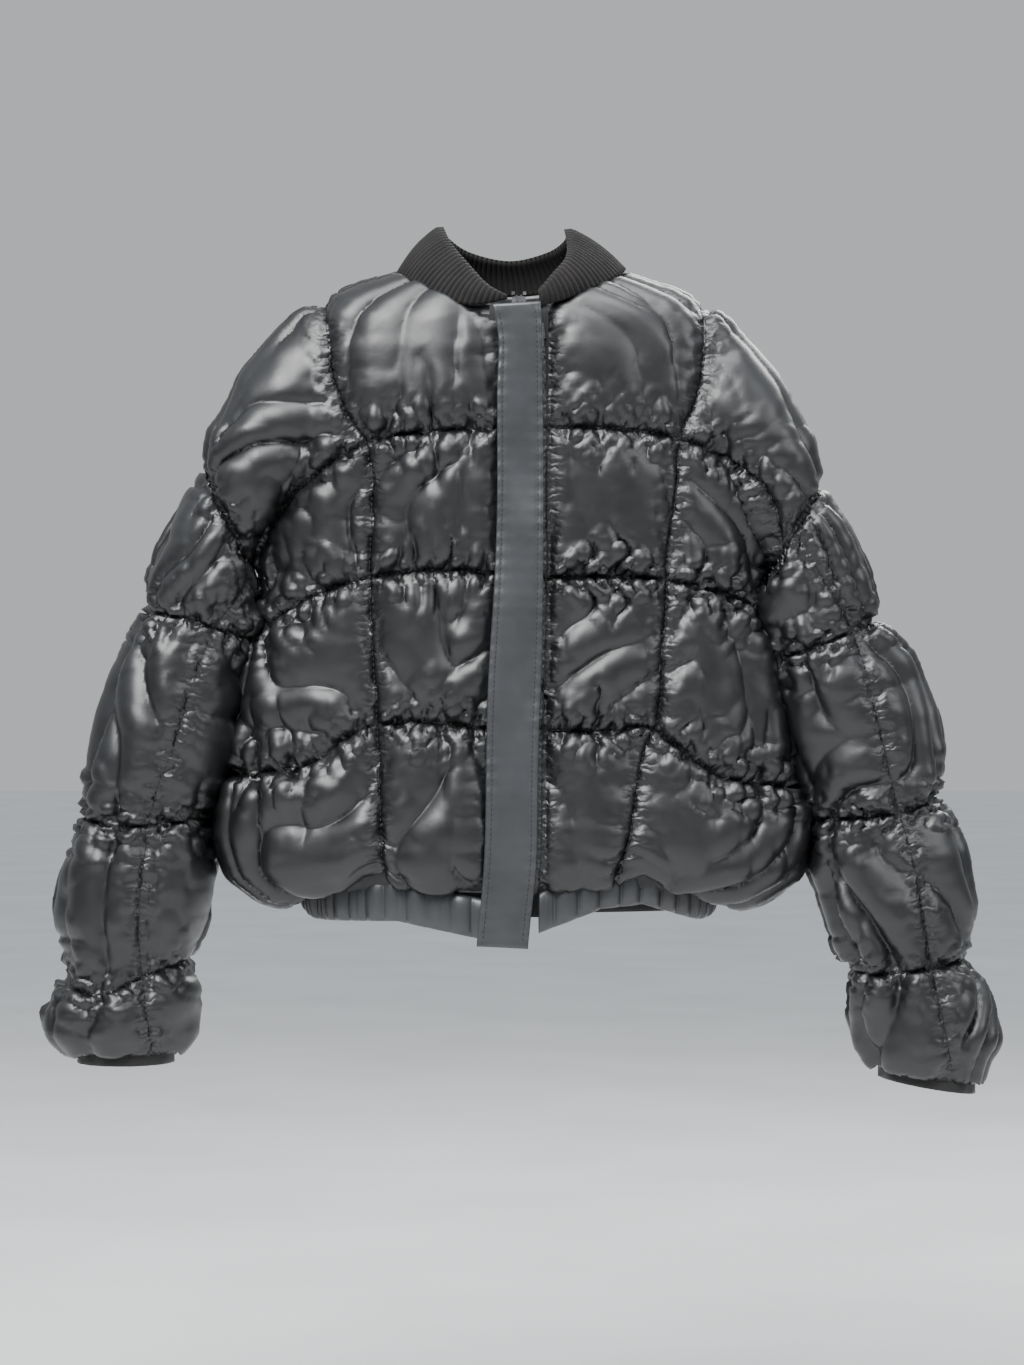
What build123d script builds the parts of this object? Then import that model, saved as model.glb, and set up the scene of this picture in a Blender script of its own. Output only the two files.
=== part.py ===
from build123d import *
import os
from math import acos, asin, degrees

# Cropped bomber jacket in ruched faux leather, hanging by the inside of its neck and shoulders.
# X runs across the jacket, Y from front to back, Z up. The origin is at the middle of the back neck
# seam, on the inside, where a hanger carries the jacket. Millimetres. "Left" and "right" are the
# -X and +X sides, as seen by someone who faces the front.
# The shell is padded leather in horizontal tiers, pulled in along elastic seams between them.
# A tier is a tube between two seams, fullest halfway, and it is cut into panels along its seams.

# Shell
CENTRE_Y = -50.0  # the plane halfway between front and back
SHELL = 6.0  # gathered leather with its thin wadding
LINING = 1.2
LINING_GAP = 1.0  # between shell and lining
BODY_GAP = 0.6  # between two bodies that meet at a seam which bends

# Torso seams, from the neck down: height, half width, half depth
NECK = (4.0, 84.0, 55.0)
SHOULDER = (-26.0, 168.0, 68.0)
UPPER_CHEST = (-70.0, 202.0, 78.0)
SEAM_1 = (-117.0, 202.0, 78.0)
CHEST = (-172.0, 200.0, 86.0)
SEAM_2 = (-230.0, 192.0, 78.0)
WAIST = (-290.0, 200.0, 86.0)
SEAM_3 = (-352.0, 206.0, 79.0)
BLOUSON = (-425.0, 232.0, 86.0)
SEAM_4 = (-490.0, 172.0, 79.0)
TIERS = {
    1: [SEAM_1, UPPER_CHEST, SHOULDER, NECK],
    2: [SEAM_2, CHEST, SEAM_1],
    3: [SEAM_3, WAIST, SEAM_2],
    4: [SEAM_4, BLOUSON, SEAM_3],
}
SIDE_SEAM_Y = -40.0
PRINCESS_LEFT = -108.0  # the upright gathered seams of the front
PRINCESS_RIGHT = 124.0
ARMHOLE_TOP = (148.0, -8.0)  # x and z, the same on both sides
ARMHOLE_BOTTOM = (196.0, -198.0)

# Hem band and its elastic
HEM_HEIGHT = 32.0
HEM_HALF_WIDTH = 160.0
HEM_HALF_DEPTH = 76.0
HEM_THICKNESS = 5.0
ELASTIC = 1.6
ELASTIC_START = 30.0  # from each front edge to the end of the elastic

# Collar: rib knit, folded double
COLLAR_THICKNESS = 7.0
COLLAR_SEAM = (4.4, 84.0, 52.0)
COLLAR_TOP = (51.0, 56.0, 44.0)
COLLAR_BACK_TOP = 30.0  # the fold is lower behind the neck
COLLAR_MIDDLE = 5.0  # x of the front opening
COLLAR_GAP_SEAM = 30.0
COLLAR_GAP_TOP = 92.0
NECK_FACING = [(-24.0, 146.0, 59.0), (3.6, 74.0, 46.8)]

# Closure: a hidden zip between the two fronts, under the storm flap
ZIP_X = 7.0
ZIP_Y = -126.0
ZIP_TOP = -8.0
ZIP_BOTTOM = -505.0
SLOT_LEFT = -17.0  # the edges of the left and right front panels
SLOT_RIGHT = 31.0
TAPE = 0.6
COIL_WIDTH = 3.0  # from the middle of the chain to its edge
COIL_GAP = 1.2  # between the cores of the two coils, where the slider's post runs
COIL_THICKNESS = 3.0
SLIDER_LENGTH = 13.0
SLIDER_WIDTH = 11.0
SLIDER_PLATE = 1.2
POST = 0.5
FIT = 0.35  # running clearance of the slider on the coils and tapes
TAB_LENGTH = 24.0
TAB_WIDTH = 6.0
TAB_THICKNESS = 1.2
TAB_BAR_RADIUS = 0.7
FLAP_LEFT = -13.0
FLAP_WIDTH = 39.0
FLAP_THICKNESS = 2.6
FLAP_FRONT_Y = -141.4
FLAP_TOP = -13.0
FLAP_BOTTOM = -523.0
FACING_Y = -112.5
FACING_WIDTH = 44.0
FACING_THICKNESS = 1.4
FACING_TOP = -58.0

# Sleeve stations: outer edge, inner edge (x away from the middle, z) and half depth.
# The two sleeves hang differently: the right one swings further out.
SLEEVE_LEFT = {
    "armhole": ((148.6, -8.0), (196.6, -198.0), 58.0),
    "cap": ((214.0, -66.0), (200.6, -211.0), 66.0),
    "seam_1": ((245.0, -142.0), (204.0, -222.0), 60.0),
    "upper": ((285.0, -203.0), (206.0, -251.0), 68.0),
    "seam_2": ((294.0, -257.0), (210.0, -278.0), 58.0),
    "elbow": ((330.0, -335.0), (224.0, -347.0), 68.0),
    "seam_3": ((344.0, -419.0), (246.0, -424.0), 56.0),
    "lower": ((363.0, -485.0), (244.0, -482.0), 66.0),
    "seam_4": ((360.0, -548.0), (256.0, -541.0), 52.0),
    "puff": ((378.0, -588.0), (250.0, -588.0), 60.0),
    "end": ((350.0, -612.0), (270.0, -612.0), 46.0),
}
SLEEVE_RIGHT = {
    "armhole": ((148.6, -8.0), (196.6, -198.0), 58.0),
    "cap": ((214.0, -68.0), (200.6, -211.0), 66.0),
    "seam_1": ((250.0, -159.0), (204.0, -222.0), 60.0),
    "upper": ((278.0, -210.0), (207.0, -258.0), 68.0),
    "seam_2": ((290.0, -263.0), (212.0, -296.0), 58.0),
    "elbow": ((347.0, -345.0), (232.0, -358.0), 68.0),
    "seam_3": ((344.0, -403.0), (248.0, -423.0), 56.0),
    "lower": ((372.0, -470.0), (254.0, -482.0), 66.0),
    "seam_4": ((368.0, -531.0), (270.0, -542.0), 52.0),
    "puff": ((391.0, -590.0), (277.0, -592.0), 60.0),
    "end": ((372.0, -648.0), (294.0, -626.0), 46.0),
}

FAR = 700.0  # past every edge of the jacket


def write(name, shape):
    """One named piece, as one STEP file."""
    shape.label = name
    export_step(shape, os.path.join("parts", name + ".step"))


def block(x0, x1, y0, y1, z0, z1):
    """A box given by its limits."""
    corner = Pos((x0 + x1) / 2, (y0 + y1) / 2, (z0 + z1) / 2)
    return corner * Box(x1 - x0, y1 - y0, z1 - z0)


def arc_wall(plane, half_width, half_depth, inset, thickness, start, end):
    """One flat slice of a wall: the band between two ellipses, from one angle to another."""
    wide, deep = half_width - inset, half_depth - inset
    outer = EllipticalCenterArc((0, 0), wide, deep, start, arc_size=end - start)
    inner = EllipticalCenterArc(
        (0, 0), wide - thickness, deep - thickness, start, arc_size=end - start
    )
    outline = [outer, Line(outer @ 1, inner @ 1), inner, Line(inner @ 0, outer @ 0)]
    return plane * make_face(outline)


def torso_wall(stations, limits, inset, thickness):
    """A torso wall through the stations. limits gives its first and last angle at a station."""
    slices = []
    for z, half_width, half_depth in stations:
        plane = Plane.XY.offset(z).move(Pos(0, CENTRE_Y, 0))
        start, end = limits(half_width, half_depth)
        slices.append(arc_wall(plane, half_width, half_depth, inset, thickness, start, end))
    return loft(slices, ruled=True)


def front_angle(x, half_width):
    """The angle at which the front of an ellipse reaches x."""
    return -degrees(acos(x / half_width))


def side_angle(half_depth):
    """The angle of the right side seam, which lies a little behind the middle."""
    return degrees(asin((SIDE_SEAM_Y - CENTRE_Y) / half_depth))


def across_front(first_x, last_x):
    """The limits of a wall between two upright lines of the front."""

    def limits(half_width, half_depth):
        return front_angle(first_x, half_width), front_angle(last_x, half_width)

    return limits


def from_left_side(last_x):
    """The limits of a wall from the left side seam to an upright line of the front."""

    def limits(half_width, half_depth):
        return -180 - side_angle(half_depth), front_angle(last_x, half_width)

    return limits


def to_right_side(first_x):
    """The limits of a wall from an upright line of the front to the right side seam."""

    def limits(half_width, half_depth):
        return front_angle(first_x, half_width), side_angle(half_depth)

    return limits


def round_back(first_x, last_x):
    """The limits of a wall from a line right of the opening, round the back, to one left of it."""

    def limits(half_width, half_depth):
        return front_angle(first_x, half_width), 360 + front_angle(last_x, half_width)

    return limits


def across_back(half_width, half_depth):
    """The limits of a wall across the back, from side seam to side seam."""
    return side_angle(half_depth), 180 - side_angle(half_depth)


def torso_zone():
    """The space inside the two armhole planes. Below the underarm it has no limit."""
    top_x, top_z = ARMHOLE_TOP
    low_x, low_z = ARMHOLE_BOTTOM
    half = [(top_x, FAR), (top_x, top_z), (low_x, low_z), (FAR, low_z), (FAR, -FAR)]
    outline = half + [(-x, z) for x, z in reversed(half)]
    return extrude(Plane.XZ * make_face(Polyline(*outline, close=True)), FAR, both=True)


def sleeve_wall(stations, names, side, start, inset, thickness):
    """Half of a sleeve wall, from the start angle, through the named stations."""
    slices = []
    for name in names:
        (outer_x, outer_z), (inner_x, inner_z), half_depth = stations[name]
        outer = Vector(side * outer_x, CENTRE_Y, outer_z)
        inner = Vector(side * inner_x, CENTRE_Y, inner_z)
        across = inner - outer
        plane = Plane(origin=(outer + inner) / 2, x_dir=across, z_dir=across.cross(Vector(0, side, 0)))
        half_width = across.length / 2
        slices.append(arc_wall(plane, half_width, half_depth, inset, thickness, start, start + 180))
    return loft(slices, ruled=True)


def sleeve_tube(stations, names, side, inset, thickness):
    """A whole sleeve wall through the named stations."""
    halves = [sleeve_wall(stations, names, side, start, inset, thickness) for start in (0, 180)]
    return halves[0] + halves[1]


def moved_down(station, distance):
    """The same station, a little further along the sleeve."""
    outer, inner, half_depth = station
    return ((outer[0], outer[1] - distance), (inner[0], inner[1] - distance), half_depth)


def make_torso_shell():
    """Yokes, front centre and side panels, and one back panel for each tier."""
    zone = torso_zone()
    for number, stations in TIERS.items():
        panels = {f"back_panel_{number}": across_back}
        if number == 1:
            panels["front_yoke_left"] = from_left_side(SLOT_LEFT)
            panels["front_yoke_right"] = to_right_side(SLOT_RIGHT)
        else:
            panels[f"front_centre_left_{number}"] = across_front(PRINCESS_LEFT, SLOT_LEFT)
            panels[f"front_side_left_{number}"] = from_left_side(PRINCESS_LEFT)
            panels[f"front_centre_right_{number}"] = across_front(SLOT_RIGHT, PRINCESS_RIGHT)
            panels[f"front_side_right_{number}"] = to_right_side(PRINCESS_RIGHT)
        for name, limits in panels.items():
            panel = torso_wall(stations, limits, 0, SHELL)
            cut = number < 3 and "centre" not in name
            write(name, panel & zone if cut else panel)


def make_hem():
    """Pleated band in three lengths, and the elastic sewn to its inside."""
    top = (SEAM_4[0], HEM_HALF_WIDTH, HEM_HALF_DEPTH)
    bottom = (SEAM_4[0] - HEM_HEIGHT, HEM_HALF_WIDTH, HEM_HALF_DEPTH)
    lengths = {
        "hem_band_back": across_back,
        "hem_band_left": from_left_side(SLOT_LEFT),
        "hem_band_right": to_right_side(SLOT_RIGHT),
    }
    for name, limits in lengths.items():
        write(name, torso_wall([bottom, top], limits, 0, HEM_THICKNESS))
    around = round_back(SLOT_RIGHT + ELASTIC_START, SLOT_LEFT - ELASTIC_START)
    write("hem_elastic", torso_wall([bottom, top], around, HEM_THICKNESS + 0.2, ELASTIC))


def behind_neck(half_width, half_depth):
    """The limits of the neck facing, at every height."""
    return 55, 125


def make_collar():
    """A rib-knit ring that leans in, open in a V at the front and lower behind the neck."""

    def limits(half_width, half_depth):
        half_gap = (COLLAR_GAP_TOP if half_width < COLLAR_SEAM[1] else COLLAR_GAP_SEAM) / 2
        return round_back(COLLAR_MIDDLE + half_gap, COLLAR_MIDDLE - half_gap)(half_width, half_depth)

    ring = torso_wall([COLLAR_SEAM, COLLAR_TOP], limits, 0, COLLAR_THICKNESS)
    lean = Polyline(
        (CENTRE_Y - 10, COLLAR_TOP[0] + 5), (60, COLLAR_BACK_TOP - 8), (60, COLLAR_TOP[0] + 5), close=True
    )
    write("collar", ring - extrude(Plane.YZ * make_face(lean), FAR, both=True))
    write("back_neck_facing", torso_wall(NECK_FACING, behind_neck, 0, 1.5))


def make_facings_and_linings():
    """Flat facings behind the front edges, and the body lining behind the shell."""
    first_x = SLOT_LEFT - FACING_WIDTH
    last_x = SLOT_RIGHT + FACING_WIDTH
    for name, x0, x1 in (("left", first_x, SLOT_LEFT), ("right", SLOT_RIGHT, last_x)):
        strip = block(x0, x1, FACING_Y, FACING_Y + FACING_THICKNESS, SEAM_4[0] + 4, FACING_TOP)
        write(f"front_facing_{name}", strip)
    stations = [SEAM_4, BLOUSON, SEAM_3, WAIST, SEAM_2, CHEST, SEAM_1]
    inset = SHELL + LINING_GAP
    limits = round_back(last_x + 1, first_x - 1)
    write("body_lining", torso_wall(stations, limits, inset, LINING) & torso_zone())


def make_closure():
    """Zip tapes, coils, stops, end fittings, slider and pull tab, the guard behind and the flap in front."""
    tape_y0, tape_y1 = ZIP_Y - TAPE / 2, ZIP_Y + TAPE / 2
    for name, side, edge in (("left", -1, SLOT_LEFT), ("right", 1, SLOT_RIGHT)):
        coil_in = ZIP_X + side * COIL_GAP / 2
        coil_out = ZIP_X + side * COIL_WIDTH
        tape = block(*sorted((coil_out, edge - side)), tape_y0, tape_y1, ZIP_BOTTOM - 12, ZIP_TOP)
        write(f"zip_tape_{name}", tape)
        coil = block(
            *sorted((coil_in, coil_out)),
            ZIP_Y - COIL_THICKNESS / 2, ZIP_Y + COIL_THICKNESS / 2, ZIP_BOTTOM, ZIP_TOP - 3,
        )
        long_edges = coil.edges().filter_by(Axis.Z)
        write(f"zip_coil_{name}", fillet(long_edges, COIL_WIDTH * 0.3))
    stops = [
        block(ZIP_X + x, ZIP_X + x + 2.6, ZIP_Y - 1.7, tape_y0, ZIP_TOP - 2.8, ZIP_TOP - 0.2)
        for x in (-COIL_WIDTH - 2.7, COIL_WIDTH + 0.1)
    ]
    write("zip_top_stops", Compound(children=stops))
    write("zip_pin", block(ZIP_X - 3.2, ZIP_X - 0.2, ZIP_Y - 1.6, ZIP_Y + 1.6, ZIP_BOTTOM - 12, ZIP_BOTTOM)
          - block(ZIP_X - 3.3, ZIP_X - COIL_WIDTH, tape_y0, tape_y1, -FAR, FAR))
    write("zip_box", block(ZIP_X, ZIP_X + 6.5, ZIP_Y - 2.6, ZIP_Y + 2.6, ZIP_BOTTOM - 12, ZIP_BOTTOM)
          - block(ZIP_X + COIL_WIDTH, FAR, tape_y0, tape_y1, -FAR, FAR))
    write("zip_slider", make_slider())
    write("zip_pull_tab", make_pull_tab())
    write("zip_guard", block(SLOT_LEFT + 5, SLOT_RIGHT - 5, -120.5, -119.0, ZIP_BOTTOM - 12, ZIP_TOP))
    flap = block(
        FLAP_LEFT, FLAP_LEFT + FLAP_WIDTH, FLAP_FRONT_Y, FLAP_FRONT_Y + FLAP_THICKNESS,
        FLAP_BOTTOM, FLAP_TOP,
    )
    write("storm_flap", fillet(flap.edges().filter_by(Axis.Y), 2.5))


def make_slider():
    """Two plates around the chain, joined in front by a bridge for the tab."""
    z1 = ZIP_TOP - 4
    z0 = z1 - SLIDER_LENGTH
    half = COIL_THICKNESS / 2 + FIT
    plates = block(
        ZIP_X - SLIDER_WIDTH / 2, ZIP_X + SLIDER_WIDTH / 2,
        ZIP_Y - half - SLIDER_PLATE, ZIP_Y + half + SLIDER_PLATE, z0, z1,
    )
    plates = fillet(plates.edges().filter_by(Axis.Y), 2.5)
    channel = block(ZIP_X - COIL_WIDTH - FIT, ZIP_X + COIL_WIDTH + FIT, ZIP_Y - half, ZIP_Y + half, -FAR, FAR)
    slots = block(-FAR, FAR, ZIP_Y - TAPE / 2 - FIT, ZIP_Y + TAPE / 2 + FIT, -FAR, FAR)
    front = ZIP_Y - half - SLIDER_PLATE
    bridge = block(ZIP_X - 1.5, ZIP_X + 1.5, front - 3.4, front + 0.2, z0 + 1.5, z1 - 3)
    eye = block(-FAR, FAR, front - 2.4, front - 0.2, z0 + 2.5, z1 - 4)
    post = block(ZIP_X - POST / 2, ZIP_X + POST / 2, ZIP_Y - half - 0.2, ZIP_Y + half + 0.2, z1 - 4, z1)
    return plates - channel - slots + (bridge - eye) + post


def make_pull_tab():
    """A flat tab whose top bar lies in the slider's eye."""
    half = COIL_THICKNESS / 2 + FIT
    bar_y = ZIP_Y - half - SLIDER_PLATE - 1.3
    z_bar = ZIP_TOP - 4 - SLIDER_LENGTH + 3.6
    bar = Pos(ZIP_X, bar_y, z_bar) * Rot(0, 90, 0) * Cylinder(TAB_BAR_RADIUS, TAB_WIDTH)
    y0, y1 = bar_y - TAB_THICKNESS / 2, bar_y + TAB_THICKNESS / 2
    plate = block(ZIP_X - TAB_WIDTH / 2, ZIP_X + TAB_WIDTH / 2, y0, y1, z_bar - TAB_LENGTH, z_bar)
    plate = fillet(plate.edges().filter_by(Axis.Y).group_by(Axis.Z)[0], 1.2)
    window = block(ZIP_X - 1.9, ZIP_X + 1.9, y0 - 1, y1 + 1, z_bar - 5, z_bar + 1)
    return plate - window + bar


def make_sleeve(name, side, stations):
    """Cap, three tiers of a front and a back panel, cuff puff, cuff elastic and two lining tubes."""
    front_start = 0 if side < 0 else 180
    lower = dict(stations)
    lower["seam_2"] = moved_down(stations["seam_2"], BODY_GAP)
    write(f"sleeve_cap_{name}", sleeve_tube(stations, ["armhole", "cap", "seam_1"], side, 0, SHELL))
    tiers = {
        2: (stations, ["seam_1", "upper", "seam_2"]),
        3: (lower, ["seam_2", "elbow", "seam_3"]),
        4: (lower, ["seam_3", "lower", "seam_4"]),
    }
    for number, (places, names) in tiers.items():
        front = sleeve_wall(places, names, side, front_start, 0, SHELL)
        back = sleeve_wall(places, names, side, 180 - front_start, 0, SHELL)
        write(f"sleeve_front_{name}_{number}", front)
        write(f"sleeve_back_{name}_{number}", back)
    write(f"cuff_{name}", sleeve_tube(lower, ["seam_4", "puff", "end"], side, 0, SHELL))
    end = stations["end"]
    past_end = moved_down(end, 6.0)
    elastic_path = {"end": moved_down(end, 0.3), "past": past_end}
    write(f"cuff_elastic_{name}", sleeve_tube(elastic_path, ["end", "past"], side, 2, ELASTIC))
    inset = SHELL + LINING_GAP
    upper_names = ["armhole", "cap", "seam_1", "upper", "seam_2"]
    lower_names = ["seam_2", "elbow", "seam_3", "lower", "seam_4"]
    write(f"sleeve_lining_upper_{name}", sleeve_tube(stations, upper_names, side, inset, LINING))
    write(f"sleeve_lining_lower_{name}", sleeve_tube(lower, lower_names, side, inset, LINING))


os.makedirs("parts", exist_ok=True)
make_torso_shell()
make_hem()
make_collar()
make_facings_and_linings()
make_closure()
make_sleeve("left", -1, SLEEVE_LEFT)
make_sleeve("right", 1, SLEEVE_RIGHT)
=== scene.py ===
import math

import bpy
import numpy as np
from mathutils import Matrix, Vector
from mathutils.bvhtree import BVHTree


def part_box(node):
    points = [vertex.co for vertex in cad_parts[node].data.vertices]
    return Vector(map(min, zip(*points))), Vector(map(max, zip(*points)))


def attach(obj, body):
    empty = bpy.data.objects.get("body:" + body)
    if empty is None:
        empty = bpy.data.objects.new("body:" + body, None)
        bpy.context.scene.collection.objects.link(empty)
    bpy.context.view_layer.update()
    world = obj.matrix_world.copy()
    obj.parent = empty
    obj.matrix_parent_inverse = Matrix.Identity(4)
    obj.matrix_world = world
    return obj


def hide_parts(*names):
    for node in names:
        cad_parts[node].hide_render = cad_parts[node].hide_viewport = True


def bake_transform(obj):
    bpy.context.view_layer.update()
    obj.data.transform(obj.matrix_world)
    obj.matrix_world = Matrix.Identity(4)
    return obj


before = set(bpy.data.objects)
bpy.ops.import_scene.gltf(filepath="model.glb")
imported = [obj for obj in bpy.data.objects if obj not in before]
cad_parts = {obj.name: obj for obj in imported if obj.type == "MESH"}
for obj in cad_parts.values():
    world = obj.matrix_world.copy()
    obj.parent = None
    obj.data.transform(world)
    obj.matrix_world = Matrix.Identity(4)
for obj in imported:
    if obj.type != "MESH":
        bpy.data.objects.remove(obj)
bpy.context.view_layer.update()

# Ruched faux-leather bomber jacket. Metres, in the CAD frame: +X right, +Y to the back, +Z up.
# The shell is three closed forms, the body and the two sleeves. Each is voxel remeshed, held along its
# elastic seams and blown up as cloth between them, then cut along the seams into one piece per panel.
# "left" and "right" are as seen by someone who faces the front.

MM = 0.001
SIDES = ("left", "right")
DOWN = (0, -1)
CENTRE_X, CENTRE_Y = 8 * MM, -50 * MM  # between the two fronts, and half way from front to back
PICTURE_HEIGHT = 1.092  # what the picture covers at the middle of the jacket
CAMERA_DISTANCE = 3.0
CAMERA_X, CAMERA_Z = 0.0016, -0.313

# The cloth simulation
VOXEL = 3.1 * MM  # edge length of the simulated mesh
SIM_FRAMES = 16
SPARE = 0.12  # share by which the cloth is larger than the form that it covers
CLOTH = {
    "quality": 4,
    "mass": 0.12,
    "tension_stiffness": 18,
    "compression_stiffness": 18,
    "shear_stiffness": 6,
    "bending_stiffness": 1.5,
    "use_pressure": True,
    "uniform_pressure_force": 8.0,
    "shrink_min": -SPARE,
    "shrink_max": -SPARE,
    "air_damping": 4,
}
MOST_PUFF = 32 * MM
CALM_STEPS = 8  # steps of the weights that smooth the middle of each panel

# Folds, pleats and puffs of the leather
PLEATS = [(13 * MM, 9.0 * MM, 25 * MM), (31 * MM, 9.0 * MM, 48 * MM)]  # width, height, fade from the seam
LONG_FOLD = (44 * MM, 12.0 * MM)  # width and height of the folds that run down each tier
BODY_RADIUS, SLEEVE_RADIUS = 0.16, 0.056  # which turn an angle round the form into a length
OTHER_FOLDS = 3.0  # added to the place round a sleeve, so that each sleeve has its own folds
FRONT_CENTRE_WIDTH = 112 * MM  # the long folds are weaker this near to the middle of the front
YOKE_FOOT = -115 * MM  # and weakest above this height
HAND_FOLDS = 0.60  # share of the pleats and folds that is added again once the leather is blown up
PILLOW, SEAM_SINK = 6.5 * MM, 3.5 * MM  # each panel swells between its seams, which sink
SLEEVE_SWELL = 0.5  # as a share of the body's swelling
UNDERARM = (205 * MM, -228 * MM)  # X and Z of the point where sleeve, cap and body meet
LOBE_TOP = -415 * MM  # below this height the edge of the body rises and sags
LOBE_RISE, LOBE_SAG = 18 * MM, 13 * MM  # it is drawn up at the long seams and sags at the sides
LONG_SEAM_FEET = (-108 * MM, 102 * MM)  # where the two long front seams meet the hem

# Where the form is held, and where it is cut open
HEM_HELD, HEM_CUT = -477 * MM, -486 * MM
STRIP_TOP = -24 * MM  # the strip between the front edges is flat below this height
FRONT_STRIP_Y = -134 * MM  # just behind the flap
NECK = (1, -56, 84, 62)  # the neck opening from above: centre x, centre y, half width, half depth (mm)
NECK_REACH = 60 * MM  # how far below the neck seat its opening and the slope of the shoulders reach
SHOULDER_SLOPE = 0.12
END_WIDTH = 60 * MM  # more than half the width of a sleeve's flat end
TUCK, TUCK_INSET = 0.35, 7 * MM  # how far the cap goes on inside the sleeve below it
TUCK_FOOT = -230 * MM
SLOT_RIGHT = 9 * MM  # how far inside the right front edge its flat strip goes, under the flap
SHELL_THICKNESS = 1.8 * MM
SEAM_SEARCH = 0.06  # points further from a seam's box than this don't belong to it
AT_ONCE = 4000  # points compared with a seam in one step


# ---------------------------------------------------------------- outlines and seams
# Body stations, from the neck down: height, left edge, right edge, half depth (mm).
TORSO = [
    (14, -58, 60, 34),
    (10, -84, 86, 50),
    (0, -118, 118, 62),
    (-10, -148, 148, 68),
    (-24, -170, 172, 73),
    (-48, -184, 186, 77),
    (-90, -192, 194, 79),
    (-150, -196, 200, 80),
    (-206, -199, 205, 78),
    (-279, -209, 216, 80),
    (-345, -216, 226, 78),
    (-385, -222, 230, 81),
    (-430, -230, 234, 86),
    (-456, -222, 226, 85),
    (-472, -196, 198, 80),
    (-480, -163, 165, 77),
]
# Sleeve stations, from inside the shoulder down: outer edge, inner edge (x, z), half depth (mm).
SLEEVES = {
    "left": [
        ((-112, -14), (-150, -170), 50),
        ((-150, -14), (-178, -192), 56),
        ((-178, -33), (-187, -202), 60),
        ((-208, -66), (-194, -208), 62),
        ((-234, -112), (-199, -214), 60),
        ((-243, -143), (-203, -224), 56),
        ((-268, -190), (-193, -244), 62),
        ((-285, -226), (-194, -262), 60),
        ((-291, -257), (-199, -279), 55),
        ((-310, -300), (-211, -312), 62),
        ((-324, -340), (-214, -348), 64),
        ((-336, -385), (-227, -388), 60),
        ((-340, -419), (-236, -421), 53),
        ((-354, -460), (-240, -458), 60),
        ((-358, -500), (-248, -498), 60),
        ((-354, -546), (-256, -539), 50),
        ((-368, -572), (-254, -570), 56),
        ((-370, -590), (-254, -592), 56),
        ((-348, -609), (-266, -609), 45),
    ],
    "right": [
        ((112, -14), (150, -170), 50),
        ((150, -16), (178, -192), 56),
        ((180, -36), (187, -202), 60),
        ((208, -68), (194, -208), 62),
        ((234, -116), (200, -214), 60),
        ((247, -157), (204, -226), 56),
        ((268, -192), (194, -246), 62),
        ((284, -232), (195, -268), 60),
        ((288, -263), (201, -292), 55),
        ((318, -296), (215, -322), 62),
        ((336, -340), (219, -356), 64),
        ((341, -380), (231, -394), 60),
        ((339, -404), (236, -421), 53),
        ((360, -446), (243, -460), 60),
        ((367, -490), (258, -500), 60),
        ((363, -532), (270, -540), 50),
        ((380, -562), (274, -574), 56),
        ((386, -596), (280, -600), 56),
        ((374, -634), (292, -620), 45),
    ],
}
SEAM_1_RING, SEAM_2_RING, SEAM_3_RING = 5, 8, 12  # sleeve stations that lie on a seam
# Elastic seams of the body, as curves in X and Z (mm). Each runs round the front and the back alike.
BODY_SEAMS = {
    "tier_1_left": [(-6, -114), (-56, -117), (-112, -125), (-158, -154), (-181, -179), (-200, -206),
                    (-208, -236)],
    "tier_2_left": [(-6, -228), (-56, -225), (-112, -231), (-160, -247), (-200, -272)],
    "tier_3_left": [(-10, -350), (-60, -344), (-104, -346), (-132, -358), (-160, -377), (-216, -386)],
    "tier_1_right": [(26, -114), (88, -115), (144, -125), (184, -147), (206, -172), (214, -212)],
    "tier_2_right": [(26, -231), (104, -231), (152, -239), (188, -251), (214, -274)],
    "tier_3_right": [(24, -350), (80, -351), (104, -347), (132, -363), (168, -387), (230, -396)],
    "armhole_left": [(-150, -4), (-144, -39), (-140, -71), (-128, -103), (-112, -125)],
    "armhole_right": [(154, -8), (154, -47), (148, -87), (138, -110), (134, -124)],
    "princess_left": [(-112, -125), (-108, -167), (-110, -231), (-108, -279), (-104, -346), (-100, -447),
                      (-99, -492)],
    "princess_right": [(134, -124), (130, -167), (124, -215), (121, -275), (116, -340), (104, -370),
                       (94, -431), (84, -470), (80, -492)],
}
# The edges of the two fronts, under the storm flap.
FRONT_EDGES = {
    "front_edge_left": [(-3, -6), (-3, -87), (-4, -167), (-6, -231), (-10, -295), (-12, -343), (-14, -447),
                        (-18, -495)],
    "front_edge_right": [(29, -6), (30, -87), (31, -167), (30, -231), (29, -295), (27, -343), (26, -447),
                         (22, -495)],
}
SLEEVE_SEAMS = {
    "sleeve_1_left": [(-250, -130), (-223, -183), (-197, -236)],
    "sleeve_2_left": [(-300, -257), (-264, -261), (-206, -279)],
    "sleeve_3_left": [(-350, -418), (-304, -427), (-240, -420)],
    "sleeve_4_left": [(-360, -546), (-328, -559), (-288, -545), (-250, -531)],
    "sleeve_1_right": [(255, -144), (225, -191), (196, -239)],
    "sleeve_2_right": [(296, -262), (256, -279), (208, -296)],
    "sleeve_3_right": [(348, -400), (312, -414), (240, -423)],
    "sleeve_4_right": [(370, -532), (296, -543), (262, -541)],
}
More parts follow.
